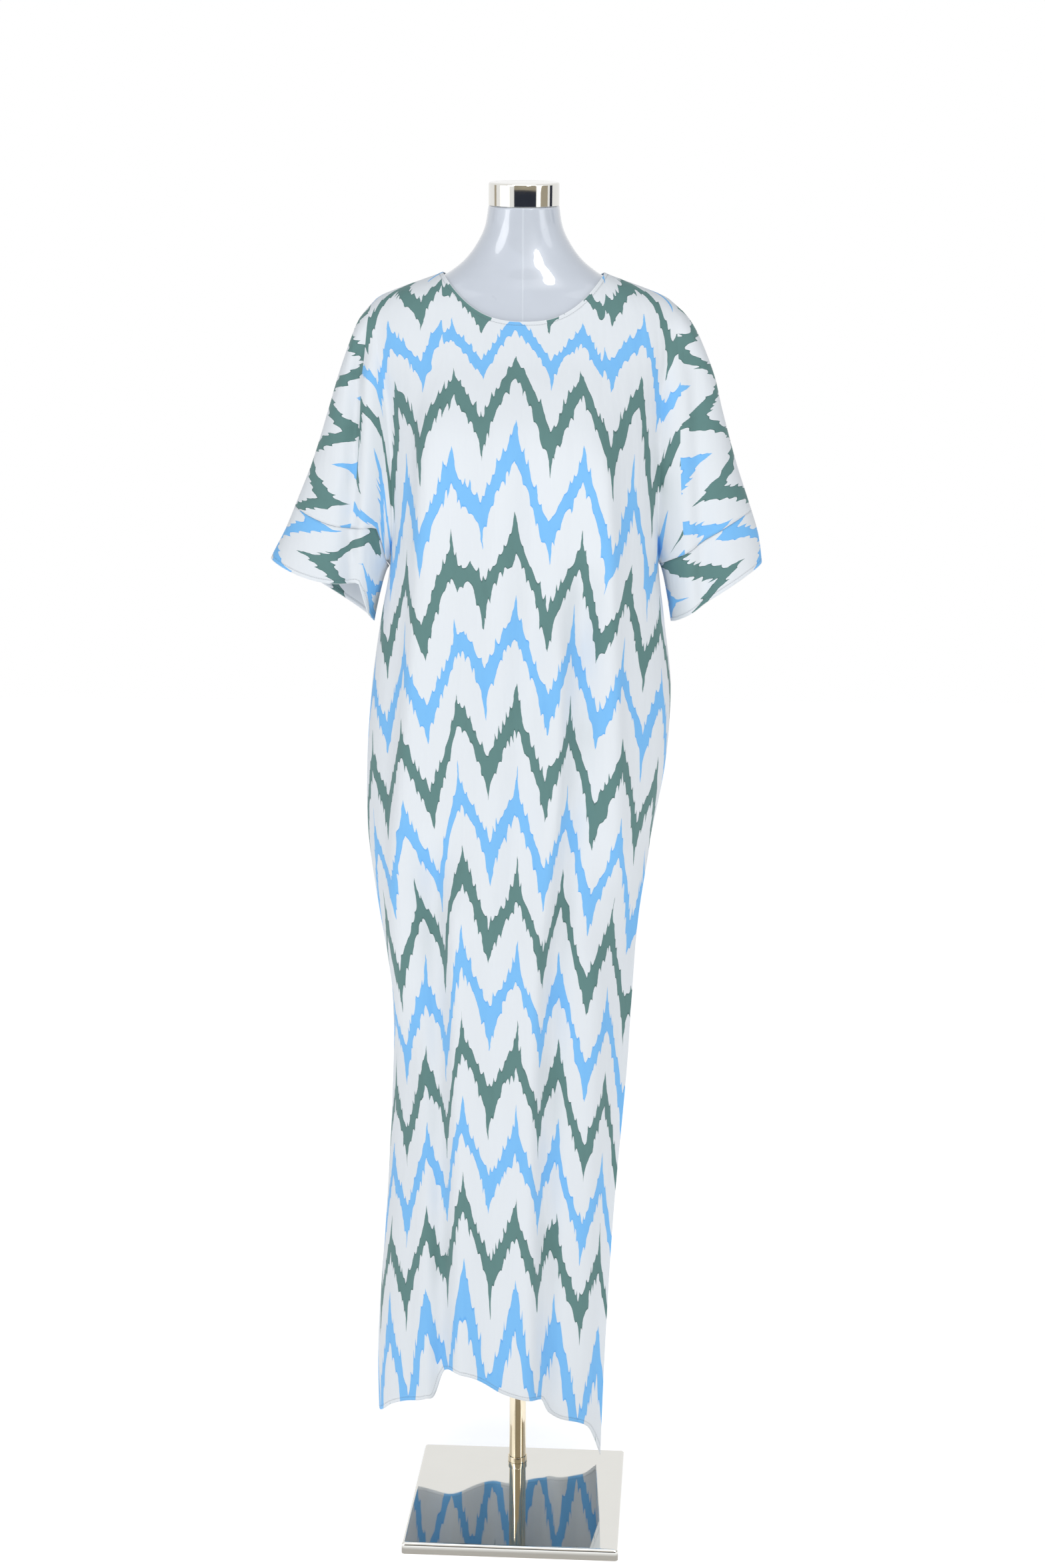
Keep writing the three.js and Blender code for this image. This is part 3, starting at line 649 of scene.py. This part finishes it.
def cloth_material(name, settings):
    """Light, smooth, printed cloth with turned and stitched edges."""
    cloth = Finish(name)
    colour = print_rows(cloth, settings)
    along, inward, _ = cloth.axes(cloth.node("ShaderNodeUVMap", {"uv_map": "edge"}))
    place = cloth.place()

    dash = abs((along / STITCH_PITCH).of("FRACT") - 0.5) < 0.36
    line = 1 - cloth.soft_step(abs(inward - STITCH_IN), 0.0001, 0.00045)
    stitch_and_shade = dash * line
    turned = 1 - cloth.soft_step(inward, HEM_IN, HEM_IN + 0.0008)
    rolled = 1 - cloth.soft_step(inward, 0.0003, 0.0010)
    # The stitches are painted darker and bluish grey: painted shade in their sunken line.
    colour = cloth.mix(stitch_and_shade * 0.35, colour, srgb(150, 160, 172))
    colour = cloth.mix(rolled * 0.6, colour, srgb(246, 248, 250))

    crease = cloth.noise(cloth.stretched(place, (26.0, 26.0, 3.2)), 1.0, 3.0, 0.55)
    pull = cloth.noise(cloth.stretched(place, (9.0, 9.0, 2.0)), 1.0, 2.0)
    across, down, _ = cloth.axes(cloth.node("ShaderNodeUVMap", {"uv_map": "cut"}))
    warp = (across * (2 * math.pi / THREAD)).of("SINE")
    weft = (down * (2 * math.pi / THREAD)).of("SINE")
    folds = cloth.bump(crease + pull * 1.2, 0.006, 0.55)
    weave = cloth.bump(warp * weft, 0.00005, 0.25, folds)
    sewn = cloth.bump(turned * 0.8 - stitch_and_shade * 0.6 - line * 0.3, 0.0005, 0.9, weave)
    return cloth.surface(
        {
            "Base Color": colour,
            "Roughness": 0.72,
            "Sheen Weight": 0.1,
            "Sheen Roughness": 0.4,
            "Specular IOR Level": 0.3,
            "Normal": sewn,
        }
    )


def plastic_material(name, settings):
    """Glossy pale grey plastic with a faint mould seam at the centre."""
    plastic = Finish(name)
    place = plastic.place()
    x, _, _ = plastic.axes(place)
    cloud = plastic.noise(place, 18.0, 3.0)
    grain = plastic.noise(place, 900.0, 2.0)
    seam = 1 - plastic.soft_step(abs(x + 0.001), 0.0004, 0.0016)
    light = tuple(min(1, c * 1.05) for c in settings.plastic)
    dark = tuple(c * 0.93 for c in settings.plastic)
    colour = plastic.mix(cloud, dark, light)
    colour = plastic.mix(seam * 0.35, colour, srgb(225, 230, 238))
    smudge = plastic.noise(place, 40.0, 2.0)
    normal = plastic.bump(seam, 0.0004, 0.6, plastic.bump(grain, 0.00008, 0.3))
    return plastic.surface(
        {
            "Base Color": colour,
            "Roughness": 0.3 + (smudge - 0.5) * 0.1,
            "Coat Weight": 1.0,
            "Coat Roughness": 0.04,
            "Normal": normal,
        }
    )


def chrome_material(name, colour, scratch_scale, roughness, side=None):
    """Polished metal with faint wiping marks. Below the height side it is painted darker: painted
    shade and a painted dark reflection.
    """
    metal = Finish(name)
    place = metal.place()
    marks = metal.noise(metal.stretched(place, scratch_scale), 1.0, 3.0, 0.6)
    smudge = metal.noise(place, 24.0, 3.0)
    tint = metal.mix(smudge, tuple(c * 0.96 for c in colour), tuple(colour))
    if side:
        _, _, height = metal.axes(place)
        # Painted shade and dark reflection: the low part is mixed towards a dark grey-brown.
        low = 1 - metal.soft_step(height, side * 0.45, side)
        tint = metal.mix(low * 0.75, tint, srgb(118, 112, 102))
    return metal.surface(
        {
            "Base Color": tint,
            "Metallic": 1.0,
            "Roughness": roughness + (smudge - 0.5) * roughness * 0.6,
            "Normal": metal.bump(marks, 0.00003, 0.15),
        }
    )


def material_named(name, make, *looks):
    """The material of that name, made the first time that it is asked for."""
    return bpy.data.materials.get(name) or make(name, *looks)


def new_piece(name, bm, material):
    """A new object in the scene from a bmesh, which is freed."""
    mesh = bpy.data.meshes.new(name)
    bm.to_mesh(mesh)
    bm.free()
    mesh.materials.append(material)
    piece = bpy.data.objects.new(name, mesh)
    bpy.context.scene.collection.objects.link(piece)
    return piece


def put_on(piece, slot, *nodes):
    """Puts a finished piece on the part, in the place of its nodes."""
    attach(piece, "root")
    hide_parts(*nodes)


def aimed(place, target, axis):
    """A matrix that stands at a place and turns one of its axes to a target."""
    way = Vector(target) - Vector(place)
    return Matrix.Translation(place) @ way.to_track_quat(axis, "Y").to_matrix().to_4x4()


def new_grid(bm, rows, columns):
    """Adds a flat grid and gives its points, row by row."""
    made = bmesh.ops.create_grid(bm, x_segments=columns - 1, y_segments=rows - 1, size=1)
    return sorted(made["verts"], key=lambda v: (round(v.co.y, 5), round(v.co.x, 5)))


def sew_grids(name, grids, flip, material):
    """One mesh from grids of points, joined where their edges meet. A grid holds points
    in millimetres, and for each point its place on the cut cloth and from the edge."""
    bm = bmesh.new()
    maps = [bm.loops.layers.uv.new(key) for key in ("cut", "edge")]
    for grid in grids:
        rows, columns = grid["points"].shape[:2]
        verts = new_grid(bm, rows, columns)
        place = {vert: divmod(i, columns) for i, vert in enumerate(verts)}
        for face in {face for vert in verts for face in vert.link_faces}:
            face.smooth = True
            for loop in face.loops:
                at = place[loop.vert]
                for layer, key in zip(maps, ("cut", "edge")):
                    loop[layer].uv = grid[key][at]
        for vert, at in place.items():
            vert.co = Vector(grid["points"][at]) * MM
    bmesh.ops.remove_doubles(bm, verts=bm.verts, dist=2e-6)
    if flip:
        bmesh.ops.reverse_faces(bm, faces=bm.faces)
    return new_piece(name, bm, material)


def even_columns(count, end, power=1.0):
    """Numbers from 0 to end that crowd together at the end."""
    return end * np.sin(np.linspace(0, math.pi / 2, count)) ** power


def body_columns():
    """The body's columns, closer together at the neck points and at the sides."""
    neck = even_columns(38, NECK_FRACTION)
    turn = math.asin(NECK_FRACTION)
    shoulder = np.sin(np.linspace(turn, math.pi / 2, 40))
    half = np.concatenate([neck, shoulder[1:]])
    return np.concatenate([-half[:0:-1], half])


def edge_place(x, y, z, line):
    """For each point, its place along an edge and its distance from it, in metres."""
    points = np.stack([x, y, z], -1)
    along = steps_along(*line.T)
    best = np.full(x.shape, 1e9)
    place = np.zeros(x.shape)
    for start, end, at, length in zip(line[:-1], line[1:], along[:-1], np.diff(along)):
        way = (end - start) / max(length, 1e-6)
        t = np.clip((points - start) @ way, 0, length)
        gap = np.linalg.norm(points - start - t[..., None] * way, axis=-1)
        closer = gap < best
        best = np.where(closer, gap, best)
        place = np.where(closer, at + t, place)
    return np.stack([place, best], -1) * MM


def cloth_grid(x, y, z, cut, edge):
    return {"points": np.stack([x, y, z], -1), "cut": cut, "edge": edge}


def body_grid(face):
    """The body's panel: its points, where they are on the cut cloth and their edges."""
    f = body_columns()
    v = np.concatenate([np.linspace(0, 1, YOKE_ROWS + 1), np.ones(SKIRT_ROWS)])
    w = np.concatenate([np.zeros(YOKE_ROWS + 1), np.linspace(0, 1, SKIRT_ROWS + 1)[1:]])
    f, v = np.meshgrid(f, v)
    w = np.repeat(w[:, None], f.shape[1], 1)
    x, depth, z = body_points(face, f, v, w)
    on_seam = ((v == 0) & (np.abs(f) >= NECK_FRACTION - 1e-9)) | ((v == 1) & (np.abs(f) > 1 - 1e-9))
    y = OUTWARD[face] * np.where(on_seam, SEAM_OUT, np.maximum(depth, SEAM_OUT))

    press = np.interp(z, PRINT_PRESS["z"], PRINT_PRESS["press"])
    centre = np.interp(z[:, f.shape[1] // 2], PRINT_PRESS["z"], PRINT_PRESS["centre"])
    width = steps_along(x, y)
    middle = np.array([np.interp(c, xs, ws) for c, xs, ws in zip(centre, x, width)])
    across = (width - middle[:, None]) * press

    scoop = 1 - (np.abs(f) / NECK_FRACTION) ** NECK_LEVEL_ROUND
    level = np.where(np.abs(f) < NECK_FRACTION, scoop, 0)
    top = NECK_CUT * (1 if face == "front" else NECK_CUT_BACK) * level[0]
    underarm_z = z[YOKE_ROWS]
    under = CUT_LENGTH - (underarm_z - z[-1])
    drop = steps_along(x.T, y.T, z.T).T
    share = drop / drop[YOKE_ROWS]
    above = np.maximum(YOKE_LEVEL - (top + (under - top) * share), 0)
    yoke = top + (under - top) * share - YOKE_PRESS * above**2 / (above + YOKE_SOFT)
    skirt = under + underarm_z - z
    skirt = skirt - HEM_STRETCH * np.maximum(skirt - HEM_LEVEL, 0)
    down = np.where(w > 0, skirt, yoke)
    cut = np.stack([across, down], -1) * MM

    hem = np.stack([x[-1], y[-1], z[-1]], -1)
    columns = np.abs(f[0]) <= NECK_FRACTION + 1e-9
    neck = np.stack([x[0], y[0], z[0]], -1)[columns]
    from_hem = edge_place(x, y, z, hem[::2])
    from_neck = edge_place(x, y, z, neck)
    near_neck = from_neck[..., 1:] < from_hem[..., 1:]
    edge = np.where(near_neck, from_neck, from_hem)
    return cloth_grid(x, y, z, cut, edge)


def far_edge(shape):
    """A place far from every edge."""
    return np.stack([np.zeros(shape), np.ones(shape)], -1)


def sleeve_grids(face, side, body):
    """A sleeve in two grids: in the valley by the body the print goes on from the body,
    and beyond it the rows run down the sleeve from the folded outer edge."""
    q = even_columns(SLEEVE_COLUMNS + 1, 1, COLUMN_CROWD)
    v = np.linspace(0, 1, YOKE_ROWS + 1)
    q, v = np.meshgrid(q, v)
    x, depth, z = sleeve_points(face, side, q, v)
    on_seam = (v == 0) | (q > 1 - 1e-9)
    y = OUTWARD[face] * np.where(on_seam, SEAM_OUT, np.maximum(depth, SEAM_OUT))
    column = 0 if side == "left" else -1
    x[:, 0], y[:, 0], z[:, 0] = body["points"][: YOKE_ROWS + 1, column].T
    width = steps_along(x, y, z)
    length = steps_along(x[:, -1], y[:, -1], z[:, -1])
    tip = body["cut"][0, column, 0] / MM
    outward = OUTWARD[side]
    across = tip + outward * length[:, None] + 0 * width
    outer = np.stack([across, (width[:, -1:] - width) * SLEEVE_PRESS - SLEEVE_SHIFT], -1) * MM
    beside = np.stack([outward * width * MM, 0 * width], -1)
    near = body["cut"][: YOKE_ROWS + 1, column][:, None] + beside
    split = int(SLEEVE_COLUMNS * SLEEVE_SPLIT[side])
    grids = []
    for cut, columns in ((near, slice(0, split + 1)), (outer, slice(split, None))):
        part = [a[:, columns] for a in (x, y, z, cut)]
        grids.append(cloth_grid(*part, far_edge(part[0].shape)))
    return grids


def band_grids(side):
    """The band at the end of a sleeve, front and back."""
    grids = []
    for face in ("front", "back"):
        q = even_columns(SLEEVE_COLUMNS + 1, 1, COLUMN_CROWD)
        v = np.linspace(1, 2, BAND_ROWS + 1)
        q, v = np.meshgrid(q, v)
        x, depth, z = sleeve_points(face, side, q, v)
        outward = OUTWARD[side]
        x = x + outward * BAND_OUT * (1 - q)
        y = OUTWARD[face] * np.where((q == 0) | (q > 1 - 1e-9), 0, depth)
        z = z - CLEAR
        width = steps_along(x, y, z)
        length = steps_along(x[:, -1], y[:, -1], z[:, -1])
        across = outward * (BAND_ACROSS + length[:, None]) + 0 * width
        cut = np.stack([across, (width[:, -1:] - width) * SLEEVE_PRESS + BAND_SHIFT], -1) * MM
        line = np.stack([x[-1], y[-1], z[-1]], -1)
        grid = cloth_grid(x, y, z, cut, edge_place(x, y, z, line))
        grids.append((face, grid))
    return grids


def cloth_piece(name, grids, flip, settings, *nodes):
    """A piece of cloth with its thickness and finish, on the part, and its area."""
    cloth = material_named("cloth_finish", cloth_material, settings)
    piece = sew_grids(name, grids, flip, cloth)
    wall = piece.modifiers.new("thickness", "SOLIDIFY")
    wall.thickness = settings.thickness
    wall.offset = -1
    put_on(piece, "printed_cloth", *nodes)
    return piece, sum(polygon.area for polygon in piece.data.polygons)


class KAFTAN_OT_panels(bpy.types.Operator):
    """Builds the front and the back of the kaftan, with their sleeves"""

    bl_idname = "kaftan.panels"
    bl_label = "Panels and sleeves"

    def execute(self, context):
        settings = context.scene.kaftan_cloth
        for face in ("front", "back"):
            body = body_grid(face)
            grids = [body]
            for side in ("left", "right"):
                for grid in sleeve_grids(face, side, body):
                    if side == "left":
                        grid = {key: value[:, ::-1] for key, value in grid.items()}
                    grids.append(grid)
            nodes = [f"{face}_{part}" for part in ("panel", "sleeve_left", "sleeve_right")]
            piece, area = cloth_piece(f"kaftan_{face}", grids, face == "front", settings, *nodes)
        return {"FINISHED"}


class KAFTAN_OT_bands(bpy.types.Operator):
    """Builds the band at the end of each sleeve"""

    bl_idname = "kaftan.bands"
    bl_label = "Sleeve bands"

    def execute(self, context):
        settings = context.scene.kaftan_cloth
        for side in ("left", "right"):
            grids = []
            for face, grid in band_grids(side):
                if (side == "left") == (face == "front"):
                    grid = {key: value[:, ::-1] for key, value in grid.items()}
                grids.append(grid)
            node = f"sleeve_band_{side}"
            piece, area = cloth_piece(f"band_{side}", grids, True, settings, node)
        return {"FINISHED"}


def ring_loft(name, rings, material):
    """A tube through rings of points, from a grid whose two sides are joined."""
    rows, columns = rings.shape[:2]
    bm = bmesh.new()
    for i, vert in enumerate(new_grid(bm, rows, columns)):
        vert.co = Vector(rings[divmod(i, columns)]) * MM
    bmesh.ops.remove_doubles(bm, verts=bm.verts, dist=1e-6)
    bmesh.ops.recalc_face_normals(bm, faces=bm.faces)
    for face in bm.faces:
        face.smooth = True
    return new_piece(name, bm, material)


class KAFTAN_OT_form(bpy.types.Operator):
    """Builds the torso and neck of the dress form"""

    bl_idname = "kaftan.form"
    bl_label = "Dress form"

    def execute(self, context):
        settings = context.scene.kaftan_form
        torso = np.linspace(FORM_BOTTOM_Z, FORM_CROWD_Z, 60)
        heights = np.concatenate([torso, np.linspace(FORM_CROWD_Z + 4, NECK_TOP_Z, 70)])
        angle = np.linspace(0, 2 * math.pi, settings.segments + 1)
        z, angle = np.meshgrid(heights, angle, indexing="ij")
        cosine, sine = np.cos(angle), np.sin(angle)
        depth = np.where(sine < 0, form_size(z, "front"), form_size(z, "back"))
        power = 2 / SECTION_POWER
        x = form_size(z, "half") * np.sign(cosine) * np.abs(cosine) ** power
        y = depth * np.sign(sine) * np.abs(sine) ** power
        lean = smooth(z, 1650, NECK_TOP_Z) * math.tan(NECK_TILT)
        rings = np.stack([x, y, z + y * lean], -1)
        neck = rings[-1:]
        spread = (POLE_RADIUS + CLEAR) / np.hypot(neck[..., 0], neck[..., 1])[..., None]
        flat = neck * np.concatenate([spread, spread, np.ones_like(spread)], -1)
        flat[..., 2] = neck[..., 2] - (neck[..., 1] - flat[..., 1]) * math.tan(NECK_TILT)
        plastic = material_named("plastic_finish", plastic_material, settings)
        piece = ring_loft("dress_form", np.concatenate([rings, flat]), plastic)
        wall = piece.modifiers.new("shell", "SOLIDIFY")
        wall.thickness = SHELL * MM
        wall.offset = -1
        put_on(piece, "form_plastic", "dress_form_left", "dress_form_right")
        return {"FINISHED"}


def turned_piece(name, profile, matrix, material):
    """A piece turned round the z axis from a profile of radius and height."""
    bm = bmesh.new()
    verts = [bm.verts.new((radius * MM, 0, height * MM)) for radius, height in profile]
    edges = [bm.edges.new(pair) for pair in zip(verts[:-1], verts[1:])]
    bmesh.ops.spin(
        bm, geom=verts + edges, cent=(0, 0, 0), axis=(0, 0, 1),
        angle=2 * math.pi, steps=96, use_merge=True,
    )
    bmesh.ops.remove_doubles(bm, verts=bm.verts, dist=1e-7)
    bmesh.ops.recalc_face_normals(bm, faces=bm.faces)
    for face in bm.faces:
        face.smooth = True
    bmesh.ops.transform(bm, matrix=matrix, verts=bm.verts)
    return new_piece(name, bm, material)


def quarter(radius, height, edge):
    """Points of a rounded edge, from its outside through a quarter turn to its top."""
    turns = np.linspace(0, math.pi / 2, 7)
    return [(radius + edge * math.cos(a), height + edge * math.sin(a)) for a in turns]


def round_edges(bm, edges, radius):
    bmesh.ops.bevel(
        bm, geom=edges, offset=radius * MM, offset_type="OFFSET", segments=8,
        profile=0.5, affect="EDGES", material=-1,
    )


class KAFTAN_OT_stand(bpy.types.Operator):
    """Builds the neck cap, the pole, its collar and the base plate"""

    bl_idname = "kaftan.stand"
    bl_label = "Neck cap and stand"

    def execute(self, context):
        settings = context.scene.kaftan_form
        chrome, warm_reflection_chrome, steel = (
            material_named(name, chrome_material, *looks)
            for name, *looks in (
                ("chrome_finish", settings.steel, (60.0, 60.0, 60.0), 0.06),
                # The pole and its collar get chrome tinted beige, a painted warm reflection.
                ("pole_finish", settings.pole, (60.0, 60.0, 4.0), 0.09),
                ("steel_finish", settings.steel, (400.0, 8.0, 8.0), 0.03, PLATE_SHADE_HEIGHT),
            )
        )
        low = BASE_HEIGHT + CLEAR
        upright = Matrix.Identity(4)
        cap = [(0, 0), (CAP_RADIUS - 1, 0), (CAP_RADIUS, 1)]
        cap += quarter(CAP_RADIUS - CAP_EDGE, CAP_HEIGHT - CAP_EDGE, CAP_EDGE)
        cap += [(0, CAP_HEIGHT)]
        neck_top = Matrix.Translation((0, 0, (NECK_TOP_Z + CLEAR) * MM))
        tilt = neck_top @ Matrix.Rotation(NECK_TILT, 4, "X")
        top = NECK_TOP_Z - POLE_RADIUS * math.tan(NECK_TILT) - CLEAR
        pole = [(0, low), (POLE_RADIUS, low), (POLE_RADIUS, top), (0, top)]
        inner = POLE_RADIUS + CLEAR
        rim = low + COLLAR_HEIGHT
        collar = [(inner, low), (COLLAR_RADIUS, low)]
        collar += quarter(COLLAR_RADIUS - COLLAR_EDGE, rim - COLLAR_EDGE, COLLAR_EDGE)
        collar += [(inner, rim), (inner, low)]
        for name, profile, matrix, metal in (
            ("neck_cap", cap, tilt, chrome),
            ("pole", pole, upright, warm_reflection_chrome),
            ("pole_collar", collar, upright, warm_reflection_chrome),
        ):
            self.fasten(turned_piece(f"{name}_finish", profile, matrix, metal), name, "chrome")
        self.fasten(self.base_plate(steel), "base_plate", "polished_steel")
        return {"FINISHED"}

    def fasten(self, piece, node, slot):
        soft = piece.modifiers.new("crisp edges", "EDGE_SPLIT")
        soft.split_angle = math.radians(40)
        put_on(piece, slot, node)

    def base_plate(self, steel):
        size = Vector((BASE_WIDTH, BASE_DEPTH, BASE_HEIGHT)) * MM
        bm = bmesh.new()
        bmesh.ops.create_cube(bm, size=1)
        bmesh.ops.scale(bm, vec=size, verts=bm.verts)
        upright = [e for e in bm.edges if abs(e.verts[0].co.z - e.verts[1].co.z) > 1e-4]
        round_edges(bm, upright, BASE_CORNER)
        rim = [e for e in bm.edges if min(v.co.z for v in e.verts) > (BASE_HEIGHT / 2 - 0.1) * MM]
        round_edges(bm, rim, BASE_RIM)
        bmesh.ops.remove_doubles(bm, verts=bm.verts, dist=0.02 * MM)
        middle = Matrix.Translation((0, (BASE_BACK - BASE_DEPTH / 2) * MM, BASE_HEIGHT / 2 * MM))
        bmesh.ops.transform(bm, matrix=middle @ Matrix.Rotation(-BASE_TURN, 4, "Z"), verts=bm.verts)
        bm.normal_update()
        for face in bm.faces:
            face.smooth = abs(face.normal.z) < 0.999
        return new_piece("base_plate_finish", bm, steel)


def flat_card(name, size, place, facing, material):
    """A flat card of the studio, turned to face a point."""
    bm = bmesh.new()
    bmesh.ops.create_grid(bm, x_segments=1, y_segments=1, size=0.5)
    bmesh.ops.scale(bm, vec=(*size, 1), verts=bm.verts)
    card = new_piece(name, bm, material)
    card.matrix_world = aimed(place, facing, "Z")
    return card


def card_material(name, colour, glow=0.0):
    """The finish of one of the studio's cards. It gives off white light where glow is set."""
    sockets = {"Base Color": (*colour, 1), "Roughness": 0.9}
    if glow:
        sockets.update({"Emission Color": (1, 1, 1, 1), "Emission Strength": glow})
    return Finish(name).surface(sockets)


class KAFTAN_OT_studio(bpy.types.Operator):
    """Sets the floor, the light and the camera"""

    bl_idname = "kaftan.studio"
    bl_label = "Studio"

    def execute(self, context):
        settings = context.scene.kaftan_studio
        scene = context.scene
        scene.view_settings.view_transform = "Standard"
        scene.world = self.backdrop(settings)

        white = card_material("studio_floor", (0.9, 0.9, 0.9), 0.72)
        floor = flat_card("floor", (14, 14), (0, 0, -0.0005), (0, 0, 9), white)
        floor.matrix_world = Matrix.Translation((0, 0, -0.0005))
        shine = {"Emission Color": (1, 1, 1, 1), "Emission Strength": 1.0}
        glow = Finish("white_card").surface(shine)
        navy = card_material("navy_card", srgb(38, 44, 60))
        beige = card_material("beige_card", srgb(205, 192, 168))
        for name, material, place, size in (
            ("card_front", navy, (0.3, -4.4, 0.75), (6.4, 1.5)),
            ("card_high", beige, (0.3, -4.4, 2.2), (6.4, 1.4)),
            ("glow_left", glow, (-4.2, -1.9, 1.2), (3.0, 2.6)),
            ("glow_right", glow, (3.9, -3.4, 1.2), (1.2, 2.6)),
            ("card_right", beige, (4.2, -1.6, 1.2), (2.2, 2.6)),
            ("card_dark", navy, (4.1, 0.6, 1.2), (0.9, 2.6)),
            ("card_left", beige, (-4.2, 1.2, 1.2), (0.8, 2.6)),
        ):
            card = flat_card(name, size, place, (0, 0, place[2]), material)
            card.visible_camera = False
            card.visible_diffuse = False
            card.visible_shadow = False

        for name, place, size, power in (
            ("light_front", (0.59, -2.4, 2.6), 0.5, settings.front_light),
            ("light_left", (-2.4, -2.6, 2.5), 1.6, settings.side_light),
            ("light_right", (2.6, -2.2, 2.3), 1.6, settings.side_light * 0.35),
            ("light_top", (0, -0.8, 3.6), 2.0, settings.side_light * 0.35),
        ):
            lamp = bpy.data.lights.new(name, "AREA")
            lamp.shape = "DISK"
            lamp.energy = power
            lamp.size = size
            light = bpy.data.objects.new(name, lamp)
            light.matrix_world = aimed(place, (0, 0, 1.0), "-Z")
            scene.collection.objects.link(light)

        lens = bpy.data.cameras.new("camera")
        lens.lens = settings.lens
        lens.sensor_width = 36
        camera = bpy.data.objects.new("camera", lens)
        pitch = Matrix.Rotation(math.pi / 2 - settings.camera_pitch, 4, "X")
        roll = Matrix.Rotation(settings.camera_roll, 4, "Z")
        camera.matrix_world = Matrix.Translation(settings.camera_place) @ pitch @ roll
        scene.collection.objects.link(camera)
        scene.camera = camera
        return {"FINISHED"}

    def backdrop(self, settings):
        """A world that is white to the camera and in the metal, and lights the part softly."""
        world = bpy.data.worlds.new("studio")
        world.use_nodes = True
        tree = world.node_tree
        tree.nodes.clear()
        mix = tree.nodes.new("ShaderNodeMixShader")
        cool, white = (0.9, 0.95, 1, 1), (1, 1, 1, 1)
        for share, colour, strength in ((1, cool, settings.sky), (2, white, 1.0)):
            light = tree.nodes.new("ShaderNodeBackground")
            light.inputs["Color"].default_value = colour
            light.inputs["Strength"].default_value = strength
            tree.links.new(light.outputs[0], mix.inputs[share])
        path = tree.nodes.new("ShaderNodeLightPath")
        seen = tree.nodes.new("ShaderNodeMath")
        seen.operation = "MAXIMUM"
        tree.links.new(path.outputs["Is Camera Ray"], seen.inputs[0])
        tree.links.new(path.outputs["Is Glossy Ray"], seen.inputs[1])
        tree.links.new(seen.outputs[0], mix.inputs[0])
        end = tree.nodes.new("ShaderNodeOutputWorld")
        tree.links.new(mix.outputs[0], end.inputs[0])
        return world


class KAFTAN_PT_sidebar(bpy.types.Panel):
    """Lists the kaftan's sizes, colours and pieces"""

    bl_idname = "KAFTAN_PT_sidebar"
    bl_label = "Kaftan"
    bl_space_type = "VIEW_3D"
    bl_region_type = "UI"
    bl_category = "Kaftan"

    def draw(self, context):
        layout = self.layout
        scene = context.scene
        for group in (scene.kaftan_cloth, scene.kaftan_form, scene.kaftan_studio):
            box = layout.box()
            for name in group.bl_rna.properties.keys():
                if name not in ("rna_type", "name"):
                    box.prop(group, name)
        for operator in OPERATORS:
            layout.operator(operator.bl_idname)


OPERATORS = (
    KAFTAN_OT_panels,
    KAFTAN_OT_bands,
    KAFTAN_OT_form,
    KAFTAN_OT_stand,
    KAFTAN_OT_studio,
)
CLASSES = (KaftanCloth, KaftanForm, KaftanStudio, *OPERATORS, KAFTAN_PT_sidebar)


def register():
    for cls in CLASSES:
        bpy.utils.register_class(cls)
    bpy.types.Scene.kaftan_cloth = PointerProperty(type=KaftanCloth)
    bpy.types.Scene.kaftan_form = PointerProperty(type=KaftanForm)
    bpy.types.Scene.kaftan_studio = PointerProperty(type=KaftanStudio)


def unregister():
    del bpy.types.Scene.kaftan_studio
    del bpy.types.Scene.kaftan_form
    del bpy.types.Scene.kaftan_cloth
    for cls in reversed(CLASSES):
        bpy.utils.unregister_class(cls)


def main():
    """Builds every piece in order."""
    register()
    bpy.ops.kaftan.form()
    bpy.ops.kaftan.panels()
    bpy.ops.kaftan.bands()
    bpy.ops.kaftan.stand()
    bpy.ops.kaftan.studio()


if __name__ == "__main__":
    main()
